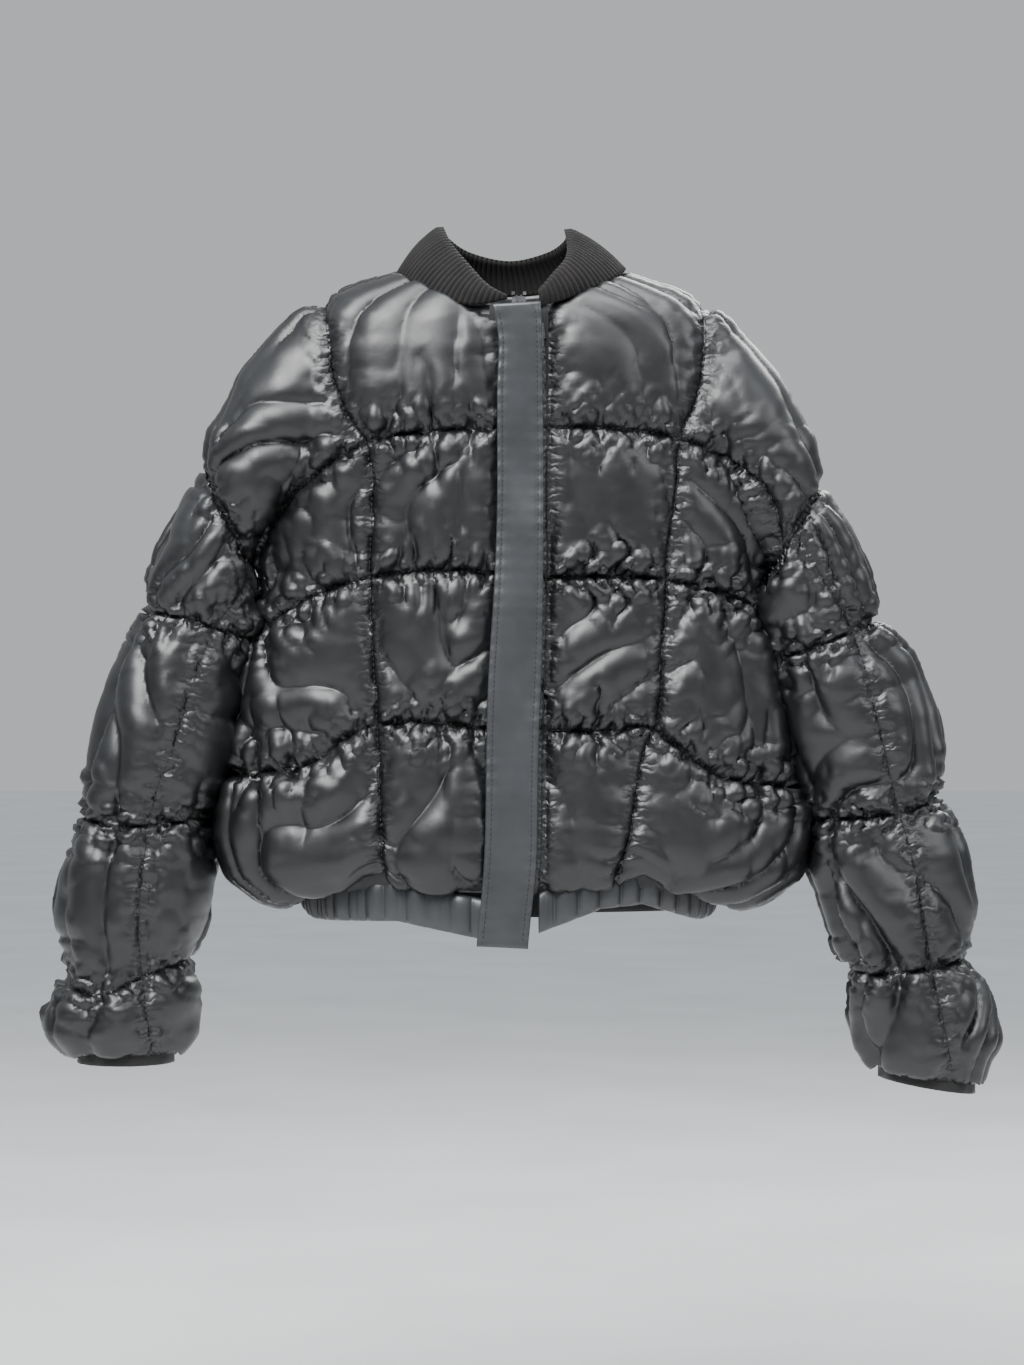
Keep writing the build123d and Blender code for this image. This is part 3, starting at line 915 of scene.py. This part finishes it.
def metal_material():
    """Dark nickel with fine scratches and worn, brighter patches."""
    material, tree, shader, coords = new_material("dark_nickel")
    worn = noise(tree, coords, 260, 4, 0.6)
    scratches = noise(tree, coords, 1400, 4, 0.7, 1.5)
    set_inputs(tree, shader, {
        "Base Color": ramp(tree, worn, 0.35, 0.7, (0.12, 0.12, 0.125), (0.3, 0.3, 0.31)),
        "Roughness": map_range(tree, scratches, 0.3, 0.7, 0.28, 0.42),
        "Normal": bump(tree, scratches, 0.15, 0.0002),
        "Metallic": 1.0,
    })
    return material


# The same satin leather twice: the flat pieces' copy has its base colour painted several times lighter, a
# painted reflection of the bright sky. The ruched panels keep the darker colour.
LEATHER_PAINTED_REFLECTION = leather_material("satin_black_leather", (0.019, 0.020, 0.022), (0.033, 0.035, 0.038), False)
RUCHED = leather_material("satin_black_leather_ruched", (0.003, 0.0031, 0.0035), (0.007, 0.0073, 0.0083),
                          True)
RIB_KNIT = cloth_material("rib_knit_yarn", (0.0045, 0.0038, 0.0036), (0.010, 0.0088, 0.0082), 700, "Z",
                          0.9, 0.06)
ELASTIC = cloth_material("covered_elastic", (0.010, 0.010, 0.010), (0.022, 0.021, 0.021), 900, "Z", 0.8)
LINING = cloth_material("lining_taffeta", (0.010, 0.010, 0.011), (0.020, 0.020, 0.022), 1600, "X", 0.5)
TAPE = cloth_material("zip_tape_weave", (0.007, 0.007, 0.007), (0.016, 0.016, 0.017), 1300, "Z", 0.8)
THREAD = thread_material()
COIL = coil_material()
METAL = metal_material()


def dress(obj, material, node):
    """Give a piece its material, and hide the CAD node that it stands in for."""
    obj.data.materials.clear()
    obj.data.materials.append(material)
    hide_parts(node)


def follow(obj, part, side=None):
    """Fasten a piece to the body that its part of the jacket follows; a shoulder or elbow piece is only baked
    in place.
    """
    if part == "shoulder":
        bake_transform(obj)
    elif part == "elbow":
        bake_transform(obj)
    elif part == "forearm":
        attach(obj, f"sleeve_lower_{side}")
    else:
        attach(obj, part)


def part_of_panel(name):
    """Which part of the jacket a shell panel moves with, and its side."""
    side = next((s for s in SIDES if s in name.split("_")), None)
    if name.startswith("sleeve_cap") or (name.startswith("sleeve") and name.endswith("_2")):
        return "shoulder", side
    if name.startswith("sleeve") and name.endswith("_3"):
        return "elbow", side
    if name.startswith(("sleeve", "cuff")):
        return "forearm", side
    return "torso", side


# ---------------------------------------------------------------- shell and its stitching
def make_shell():
    """The ruched shell, one piece per panel. Returns its surface, for the stitches to lie on."""
    form, point_island, face_island = make_form()
    base = sew_and_inflate(form, point_island)
    faces = faces_of(form)
    names = panel_names(base, faces, face_island)
    co, normal = points_of(form), normals_of(form)
    values = {label: values_of(form, label) for label in ("seam_along", "seam_distance")}
    for name in sorted({n for n in names if n}):
        piece = cut_piece(name + "_shell", co, normal, faces[names == name], values)
        dress(piece, RUCHED, name)
        follow(piece, *part_of_panel(name))
    bpy.data.objects.remove(form)
    kept = np.array([bool(n) for n in names])
    return [
        BVHTree.FromPolygons(co.tolist(), faces[kept & (face_island == k)].tolist()) for k in range(3)
    ]


def stitch_mesh(name, stitches, length, radius, sides=6):
    """Short rounded stitches, each a small spindle: its centre, its direction and the surface's normal."""
    profile = [(-0.5, 0.35), (-0.32, 0.9), (0.0, 1.0), (0.32, 0.9), (0.5, 0.35)]
    angle = np.linspace(0, 2 * math.pi, sides, endpoint=False)
    verts, faces = [], []
    for centre, along, up in stitches:
        across = np.cross(along, up)
        first = len(verts)
        for t, r in profile:
            ring = centre + along * (t * length)
            for a in angle:
                verts.append(ring + radius * r * (across * math.cos(a) + up * math.sin(a)))
        rings = grid_faces(len(profile), sides, closed_columns=True)
        faces += [tuple(first + i for i in f) for f in rings]
        faces.append(tuple(first + i for i in reversed(range(sides))))
        faces.append(tuple(first + (len(profile) - 1) * sides + i for i in range(sides)))
    obj = new_mesh(name, verts, faces)
    obj.data.materials.append(THREAD)
    return obj


def drop_on_surface(tree, points, front=True):
    """Where a line of points in X and Z meets the front or back of the shell, with its normals."""
    start, way = (-0.6, 1) if front else (0.6, -1)
    hits = []
    for x, z in points:
        place, normal, _, _ = tree.ray_cast(Vector((x, start, z)), Vector((0, way, 0)))
        if place is not None:
            hits.append((np.array(place), np.array(normal) * (-way * np.sign(normal[1]) or 1)))
    return hits


def line_stitches(hits, longest=0.02):
    """A stitch at each point of a line on a surface, except where the line jumps."""
    stitches = []
    for (a, _), (b, normal), (c, _) in zip(hits[:-2], hits[1:-1], hits[2:]):
        along = c - a
        size = np.linalg.norm(along)
        if not 1e-6 < size < longest:
            continue
        along /= size
        up = normal - along * (normal @ along)
        up /= max(np.linalg.norm(up), 1e-9)
        stitches.append((b + up * 0.2 * MM, along, up))
    return stitches


def seam_part(name):
    """The part of the jacket that a seam's stitches move with, and its side."""
    side = name.rsplit("_", 1)[1]
    if name in BODY_SEAMS or name in FRONT_EDGES:
        return "torso", side
    if name.startswith("sleeve_1"):
        return "shoulder", side
    if name.startswith("sleeve_2"):
        return "elbow", side
    return ("elbow" if name in SLEEVE_FRONTS else "forearm"), side


STITCH = 4.4 * MM  # from one stitch of the shirring to the next
SHIRRING_THREAD = (3.2 * MM, 0.5 * MM)  # length and radius of a stitch
ZIP_STITCH_ROWS = (-2.0 * MM, -5.5 * MM)  # from the right front edge
CAP_EDGE = 2.5 * MM  # the stitches of the caps' lower seam lie this far above it, on the cap


def make_stitches(trees):
    """The beaded thread of the shirring along every gathered seam, and along the right zip tape."""
    groups = {}
    for name, curve in CURVES.items():
        if name in FRONT_EDGES:
            continue
        part, side = seam_part(name)
        on_body = name in BODY_SEAMS or name.startswith("sleeve_1")
        tree = trees[0] if on_body else trees[1 + SIDES.index(side)]
        length = np.linalg.norm(np.diff(curve, axis=0), axis=1).sum()
        points = resampled(curve, max(3, int(length / STITCH)))
        if name.startswith("sleeve_1"):
            points = points + np.array([0, CAP_EDGE])
        group = groups.setdefault((part, side if part != "torso" else None), [])
        for front in (True,) if name in SLEEVE_FRONTS else (True, False):
            group += line_stitches(drop_on_surface(tree, points, front))
    edge = CURVES["front_edge_right"][8:-8]
    for shift in ZIP_STITCH_ROWS:
        line = resampled(edge + np.array([shift, 0]), 128)
        groups[("torso", None)] += line_stitches(drop_on_surface(trees[0], line))
    for (part, side), stitches in groups.items():
        if stitches:
            label = "_".join(w for w in ("shirring_stitches", part, side) if w)
            follow(stitch_mesh(label, stitches, *SHIRRING_THREAD), part, side)


# ---------------------------------------------------------------- collar
# Matching points of the neck seam and the fold of the collar, from the left front end round the back.
COLLAR_SEAM = [
    (-2, -127, -14), (-34, -119, -18), (-66, -101, -8), (-84, -74, 7), (-88, -48, 13), (-79, -22, 12),
    (-46, -2, 6), (0, 6, 2), (46, -2, 6), (79, -22, 13), (90, -48, 16), (87, -74, 9), (68, -99, -3),
    (44, -115, -13), (22, -127, -20),
]
COLLAR_FOLD = [
    (-2, -127, -11), (-17, -122, -2), (-30, -109, 13), (-46, -88, 34), (-53, -62, 50), (-50, -34, 45),
    (-32, -14, 35), (0, -6, 29), (30, -14, 35), (44, -34, 43), (43, -62, 48), (45, -86, 33),
    (43, -106, 20), (33, -119, 7), (22, -128, -7),
]
COLLAR_THICKNESS = 6 * MM
RIB_WAVE = 5.1 * MM
RIB_DEPTH = 1.5 * MM


def make_collar():
    """A rib-knit band folded double, open at the front. Returns its neck seam and outward directions."""
    columns, across = 1100, 15
    seam = resampled(smooth_curve(COLLAR_SEAM), columns)
    fold = resampled(smooth_curve(COLLAR_FOLD), columns)
    steps = np.linalg.norm(np.diff(seam, axis=0), axis=1)
    along = np.concatenate([[0], np.cumsum(steps)])
    tangent = np.gradient(seam + fold, axis=0)
    tangent /= np.linalg.norm(tangent, axis=1, keepdims=True)
    up = fold - seam
    height = np.linalg.norm(up, axis=1)
    outward = np.cross(tangent, up)
    outward /= np.maximum(np.linalg.norm(outward, axis=1, keepdims=True), 1e-9)
    middle = (seam + fold) / 2 - np.array([0, -55 * MM, 10 * MM])
    outward *= np.sign((outward * middle).sum(1))[:, None]
    end = np.minimum(along, along[-1] - along)
    taper = np.sqrt(np.clip(end / (5 * MM), 0.02, 1))
    rib = RIB_DEPTH * (np.abs(np.sin(math.pi * along / RIB_WAVE)) ** 0.8 - 0.6)
    rows = []
    for face in (1, -1):
        for t in np.linspace(0, 1, across)[::face]:
            half = COLLAR_THICKNESS / 2 * math.sqrt(max(0.0, 1 - max(0.0, (t - 0.86) / 0.14) ** 2))
            belly = 3.5 * MM * math.sin(math.pi * t) * np.minimum(1, height / (30 * MM))
            lift = face * (half * taper + rib * taper * (1 if t < 0.97 else 0.4)) + belly
            rows.append(seam + up * t + outward * lift[:, None])
    verts = np.stack(rows).reshape(-1, 3)
    quads = facing_away(verts, grid_faces(len(rows), columns, closed_rows=True), verts.mean(0))
    first_end = tuple(r * columns for r in reversed(range(len(rows))))
    last_end = tuple(r * columns + columns - 1 for r in range(len(rows)))
    obj = new_mesh("collar_rib_knit", verts, quads + [first_end, last_end])
    dress(obj, RIB_KNIT, "collar")
    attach(obj, "torso")
    return seam, outward


def make_neck_facing(seam, outward):
    """A leather strip inside the back of the neck, below the collar."""
    count = len(seam)
    part = slice(int(count * 0.27), int(count * 0.73), 6)
    top, out = seam[part], outward[part]
    rows = []
    for t in np.linspace(0, 1, 8):
        drop = np.array([0, 0, -24 * MM * t])
        rows.append(top + drop - out * (3.0 - 1.5 * math.sin(math.pi * t)) * MM)
    obj = cloth_layer("back_neck_facing_strip", np.stack(rows), 1.2 * MM)
    dress(obj, LEATHER_PAINTED_REFLECTION, "back_neck_facing")
    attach(obj, "torso")


# ---------------------------------------------------------------- flap, facings and zip
FLAP_LEFT_EDGE = [(-14, -19), (-9, -47), (-10, -87), (-10, -167), (-12, -231), (-16, -295), (-18, -343),
                  (-20, -447), (-26, -518)]
FLAP_RIGHT_EDGE = [(24, -17), (25, -47), (26, -127), (26, -207), (25, -287), (22, -367), (21, -447),
                   (16, -499), (14, -520)]
FLAP_MIDDLE_Y = -140.2 * MM
FLAP_THICKNESS = 2.6 * MM
FLAP_WIDTH = 39 * MM
FLAP_STITCH_LINE = 4.5 * MM  # in from each long edge


FLAP_CURVES = [resampled(smooth_curve(edge), 200) for edge in (FLAP_LEFT_EDGE, FLAP_RIGHT_EDGE)]


def flap_surface(u, v):
    """A point on the middle of the flap: u from its sewn edge across, v down."""
    left, right = FLAP_CURVES
    k = v * (len(left) - 1)
    a, b = (np.array([np.interp(k, np.arange(len(c)), c[:, i]) for i in (0, 1)]) for c in (left, right))
    x, z = a + (b - a) * u
    wave = 1.5 * math.sin(7.1 * v + 0.6) * (0.4 + u) + 1.0 * math.sin(17.3 * v + 2.0 + 2.6 * u)
    wave += 0.9 * math.sin(31.0 * v - 3.1 * u) * math.sin(9.0 * v + 1.0)
    pucker = 0.35 * math.sin(math.pi * z / (5.5 * MM)) * (math.exp(-u / 0.14) + math.exp(-(1 - u) / 0.12))
    return np.array([x, FLAP_MIDDLE_Y + (wave + pucker) * MM, z])


def make_flap():
    """The storm flap: a flat double leather strip with rounded edges and two rows of topstitching."""
    rows, columns = 420, 27
    shares = 0.5 - 0.5 * np.cos(np.linspace(0, math.pi, columns))
    down = np.linspace(0, 1, rows)
    middle = np.array([[flap_surface(u, v) for u in shares] for v in down])
    edge_u = np.minimum(shares, 1 - shares) * FLAP_WIDTH
    edge_v = np.minimum(down, 1 - down) * 510 * MM
    inside = np.minimum(edge_u[None, :], edge_v[:, None])
    half = FLAP_THICKNESS / 2 * np.sqrt(np.clip(inside / (1.6 * MM), 0.0, 1.0))
    groove = np.exp(-((edge_u[None, :] - FLAP_STITCH_LINE) / (0.7 * MM)) ** 2)
    half = half - 0.45 * MM * groove * (inside > 2 * MM)
    offset = np.array([0, 1, 0]) * half[..., None]
    front, back = (middle - offset).reshape(-1, 3), (middle + offset).reshape(-1, 3)
    count = len(front)
    faces = grid_faces(rows, columns)
    both = [f[::-1] for f in faces] + [tuple(i + count for i in f) for f in faces]
    obj = new_mesh("storm_flap_strip", np.vstack([front, back]), both)
    weld = obj.modifiers.new("weld", "WELD")
    weld.merge_threshold = 0.02 * MM
    apply_modifiers(obj)
    # The flap's lighter leather colour is a painted reflection of the sky on its flat face.
    dress(obj, LEATHER_PAINTED_REFLECTION, "storm_flap")
    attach(obj, "storm_flap")
    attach(stitch_mesh("flap_topstitching", flap_stitches(), 2.9 * MM, 0.42 * MM), "storm_flap")


def flap_stitches():
    """A row of stitches down the front of the flap, near each long edge."""
    stitches = []
    share = FLAP_STITCH_LINE / FLAP_WIDTH
    for u in (share, 1 - share):
        line = [flap_surface(u, v) for v in np.linspace(0.008, 0.992, 130)]
        for a, b, c in zip(line[:-2], line[1:-1], line[2:]):
            along = (c - a) / np.linalg.norm(c - a)
            up = np.array([0, -1, 0.0])
            up -= along * (up @ along)
            centre = b + up * (FLAP_THICKNESS / 2 - 0.35 * MM)
            stitches.append((centre, along, up / np.linalg.norm(up)))
    return stitches


def upright_strip(name, low, high, thickness, wave):
    """A thin upright strip of cloth in the middle of a box, a little wavy."""
    y = (low.y + high.y) / 2
    rows = np.linspace(high.z, low.z, max(2, int((high.z - low.z) / (6 * MM))))
    columns = np.linspace(low.x, high.x, 7)
    grid = np.array([
        [(x, y + wave * math.sin(31 * z + 40 * x), z) for x in columns] for z in rows
    ])
    return cloth_layer(name, grid, thickness)


UNDER_COLLAR = -19 * MM  # the strips behind the front edges end below the collar seam
ABOVE_HEM_EDGE = -496 * MM  # and above the lower edge of the hem band


def make_inner_front():
    """The facings behind the front edges, the zip tapes and the guard behind the zip."""
    strips = [
        ("front_facing_left", "_strip", LEATHER_PAINTED_REFLECTION, "shell_leather", 1.2),
        ("front_facing_right", "_strip", LEATHER_PAINTED_REFLECTION, "shell_leather", 1.2),
        ("zip_tape_left", "_ribbon", TAPE, "zip_tape", 0.6),
        ("zip_tape_right", "_ribbon", TAPE, "zip_tape", 0.6),
        ("zip_guard", "_strip", LEATHER_PAINTED_REFLECTION, "shell_leather", 1.3),
    ]
    for node, ending, material, slot, thickness in strips:
        low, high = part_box(node)
        high.z = min(high.z, UNDER_COLLAR)
        low.z = max(low.z, ABOVE_HEM_EDGE)
        wave = 0.0 if "tape" in node else 0.5 * MM
        obj = upright_strip(node + ending, low, high, thickness * MM, wave)
        dress(obj, material, node)
        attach(obj, "torso")


def dress_zip():
    """Materials for the zip parts that stay as the CAD made them."""
    for name in ("zip_coil_left", "zip_coil_right"):
        paint(name, COIL)
    for name in ("zip_top_stops", "zip_pin", "zip_box", "zip_slider", "zip_pull_tab"):
        paint(name, METAL)


def paint(node, material):
    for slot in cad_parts[node].material_slots:
        slot.link = "OBJECT"
        slot.material = material


# ---------------------------------------------------------------- hem
HEM_BOTTOM_FRONT = [(-162, -504), (-148, -501), (-88, -500), (-24, -513), (0, -516), (24, -508),
                    (72, -490), (104, -487), (152, -502), (162, -504)]
HEM_BOTTOM_BACK = -495 * MM
HEM_HEIGHT = 32 * MM
HEM_HALF_WIDTH, HEM_HALF_DEPTH = 160 * MM, 76 * MM
HEM_RADIUS = 0.125  # which turns an angle round the hem into a length
HEM_ELASTIC_SPAN = (290, 615)  # degrees, from the right front end round by the back to the left one
HEM_SPLITS = {  # start and end angle of each length of the band, from +X round by the back
    "hem_band_back": (6, 174),
    "hem_band_left": (174.5, 263),
    "hem_band_right": (278, 366),
}


def hem_bottom(x, front):
    """The height of the lower edge of the hem band."""
    if not front:
        return HEM_BOTTOM_BACK
    return float(np.interp(x / MM, *zip(*HEM_BOTTOM_FRONT))) * MM


def hem_ring(angle, around=26):
    """A ring across the hem band, pushed out where it is pleated."""
    cosine, sine = math.cos(angle), math.sin(angle)
    x, y = HEM_HALF_WIDTH * cosine, CENTRE_Y + HEM_HALF_DEPTH * sine
    frontness = min(1.0, max(0.0, -sine * 2.5))
    low = hem_bottom(x, True) * frontness + hem_bottom(x, False) * (1 - frontness)
    out = Vector((cosine / HEM_HALF_WIDTH, sine / HEM_HALF_DEPTH, 0)).normalized()
    arc = np.array([angle * HEM_RADIUS])
    pleat = float(gathers(arc, np.array([0.0]), 15 * MM, 3.0)[0])
    pleat += 0.6 * float(gathers(arc, np.array([0.01]), 34 * MM, 8.0)[0])
    ring = []
    for k in range(around):
        t = 2 * math.pi * k / around
        height = HEM_HEIGHT / 2 * math.copysign(abs(math.sin(t)) ** 0.75, math.sin(t))
        width = 5.0 * MM * math.copysign(abs(math.cos(t)) ** 0.8, math.cos(t))
        fullness = 1 + (0.55 * pleat if math.cos(t) > 0 else 0.25 * pleat)
        push = width * fullness + pleat * 3.6 * MM
        ring.append((x + out.x * push, y + out.y * push, low + HEM_HEIGHT / 2 + height))
    return ring


def make_hem():
    """The gathered hem band: a padded ring of leather in three lengths, pleated upright by its elastic."""
    for name, (start, end) in HEM_SPLITS.items():
        angles = np.radians(np.linspace(start, end, int((end - start) * 3.4)))
        verts, faces = tube_between([hem_ring(a) for a in angles])
        quads = [f for f in faces if len(f) == 4]
        turned = facing_away(np.array(verts), quads, np.array(verts).mean(0)) == quads
        obj = new_mesh(name + "_ruched", verts, faces if turned else [f[::-1] for f in faces])
        dress(obj, LEATHER_PAINTED_REFLECTION, name)
        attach(obj, "torso")
    width, depth = HEM_HALF_WIDTH - 7 * MM, HEM_HALF_DEPTH - 7 * MM
    angles = np.radians(np.linspace(*HEM_ELASTIC_SPAN, 200) % 360)
    grid = np.array([
        [(width * math.cos(a), CENTRE_Y + depth * math.sin(a), z) for a in angles]
        for z in np.linspace(-472, -493, 8) * MM
    ])
    obj = cloth_layer("hem_elastic_band", grid, 1.4 * MM)
    dress(obj, ELASTIC, "hem_elastic")
    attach(obj, "torso")


# ---------------------------------------------------------------- linings and cuff elastics
def wrinkled(ring, amount, seed, other):
    """A ring of points pushed in and out by soft wrinkles."""
    middle = ring.mean(0)
    place = np.linspace(0, 1, len(ring), endpoint=False)
    swing = hash_noise(place * 23 + other * 2.1, seed) + 0.6 * hash_noise(place * 51 - other * 3.7, seed + 4)
    swing *= np.minimum(1, np.minimum(place, 1 - place) * 30)
    return middle + (ring - middle) * (1 + amount * swing)[:, None]


def rings_between(stations, maker, inset, steps=4):
    """Rings at the stations and between them."""
    rings = [maker(s, count=120, inset=inset) for s in stations]
    out = []
    for a, b in zip(rings[:-1], rings[1:]):
        out += [a + (b - a) * t for t in np.linspace(0, 1, steps, endpoint=False)]
    return out + [rings[-1]]


def make_linings():
    """The body lining, open at the front, and two lining tubes in each sleeve."""
    stations = [s for s in TORSO if -490 < s[0] < -60]
    rings = rings_between(stations, torso_ring, 9 * MM)
    rings = [np.roll(wrinkled(r, 0.012, 2.0, k), 30, axis=0) for k, r in enumerate(rings)]
    obj = cloth_layer("body_lining_taffeta", np.stack(rings)[:, 6:-6], 0.6 * MM)
    dress(obj, LINING, "body_lining")
    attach(obj, "torso")
    for side in SIDES:
        spans = {"upper": (1, SEAM_2_RING + 1, "shoulder"), "lower": (SEAM_2_RING, 16, "elbow")}
        for label, (first, last, part) in spans.items():
            rings = rings_between(SLEEVES[side][first:last], sleeve_ring, 8 * MM)
            grid = np.stack([wrinkled(r, 0.02, 7.0, k) for k, r in enumerate(rings)])
            node = f"sleeve_lining_{label}_{side}"
            obj = cloth_layer(node + "_taffeta", grid, 0.6 * MM, closed_columns=True)
            dress(obj, LINING, node)
            follow(obj, part, side)


def make_cuff_elastics():
    """A ribbed elastic ring inside the end of each sleeve."""
    for side in SIDES:
        outer, inner, depth = SLEEVES[side][-1]
        ends = [((outer[0], outer[1] + up), (inner[0], inner[1] + up), depth) for up in (9, -7)]
        rings = rings_between(ends, sleeve_ring, 3 * MM, steps=6)
        grid = np.stack([wrinkled(r, 0.015, 4.0, 0.2 * k) for k, r in enumerate(rings)])
        obj = cloth_layer(f"cuff_elastic_{side}_band", grid, 1.4 * MM, closed_columns=True)
        dress(obj, ELASTIC, f"cuff_elastic_{side}")
        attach(obj, f"sleeve_lower_{side}")


# ---------------------------------------------------------------- stage, light and camera
def make_floor():
    bpy.ops.mesh.primitive_plane_add(size=30, location=(0, 4.0, -0.95))
    floor = bpy.context.active_object
    floor.name = "floor"
    material, tree, shader, coords = new_material("pale_floor")
    set_inputs(tree, shader, {
        "Base Color": ramp(tree, noise(tree, coords, 3, 2), 0.3, 0.7, (0.58, 0.58, 0.58), (0.64, 0.64, 0.64)),
        "Roughness": 0.9,
    })
    floor.data.materials.append(material)


def make_sky():
    """A soft sky: dark below and bright above in front of the jacket, and evenly pale behind it."""
    world = bpy.data.worlds.new("sky")
    bpy.context.scene.world = world
    world.use_nodes = True
    tree = world.node_tree
    direction = tree.nodes.new("ShaderNodeSeparateXYZ")
    tree.links.new(tree.nodes.new("ShaderNodeTexCoord").outputs["Generated"], direction.inputs["Vector"])
    height = map_range(tree, direction.outputs["Z"], -1, 1, 0, 1)
    mixed = add_node(tree, "Mix", "Result", {}, data_type="RGBA")
    set_inputs(tree, mixed.node, {
        "Factor": map_range(tree, direction.outputs["Y"], 0.1, 0.6, 0, 1),
        "A": ramp(tree, height, 0.48, 0.78, (0.02, 0.02, 0.022), (0.9, 0.98, 1.05)),
        "B": (0.52, 0.53, 0.54, 1),
    })
    set_inputs(tree, tree.nodes["Background"], {"Color": mixed, "Strength": 1.0})


def make_lamps():
    """Four soft round lamps that face the jacket: place, size and power of each."""
    lamps = [
        ("key", (-0.8, -1.6, 1.5), 1.7, 125),
        ("fill", (1.9, -1.3, 0.9), 1.5, 20),
        ("top", (0.2, -0.5, 1.5), 1.1, 26),
        ("back", (0.9, 1.8, 1.3), 1.6, 55),
    ]
    target = Vector((0, -0.05, -0.3))
    for name, place, size, power in lamps:
        lamp = bpy.data.lights.new(name, "AREA")
        lamp.shape = "DISK"
        lamp.size = size
        lamp.energy = power
        obj = bpy.data.objects.new(name, lamp)
        obj.location = place
        obj.rotation_euler = (target - Vector(place)).to_track_quat("-Z", "Y").to_euler()
        bpy.context.scene.collection.objects.link(obj)


def make_camera():
    """Level with the middle of the jacket and square to it."""
    camera = bpy.data.cameras.new("camera")
    camera.sensor_fit = "VERTICAL"
    camera.sensor_height = 24.0
    camera.lens = camera.sensor_height * CAMERA_DISTANCE / PICTURE_HEIGHT
    obj = bpy.data.objects.new("camera", camera)
    obj.location = (CAMERA_X, CENTRE_Y - CAMERA_DISTANCE, CAMERA_Z)
    obj.rotation_euler = (math.pi / 2, 0, 0)
    bpy.context.scene.collection.objects.link(obj)
    bpy.context.scene.camera = obj


surfaces = make_shell()
make_stitches(surfaces)
neck_seam, neck_outward = make_collar()
make_neck_facing(neck_seam, neck_outward)
make_flap()
make_inner_front()
dress_zip()
make_hem()
make_linings()
make_cuff_elastics()
make_floor()
make_sky()
make_lamps()
make_camera()
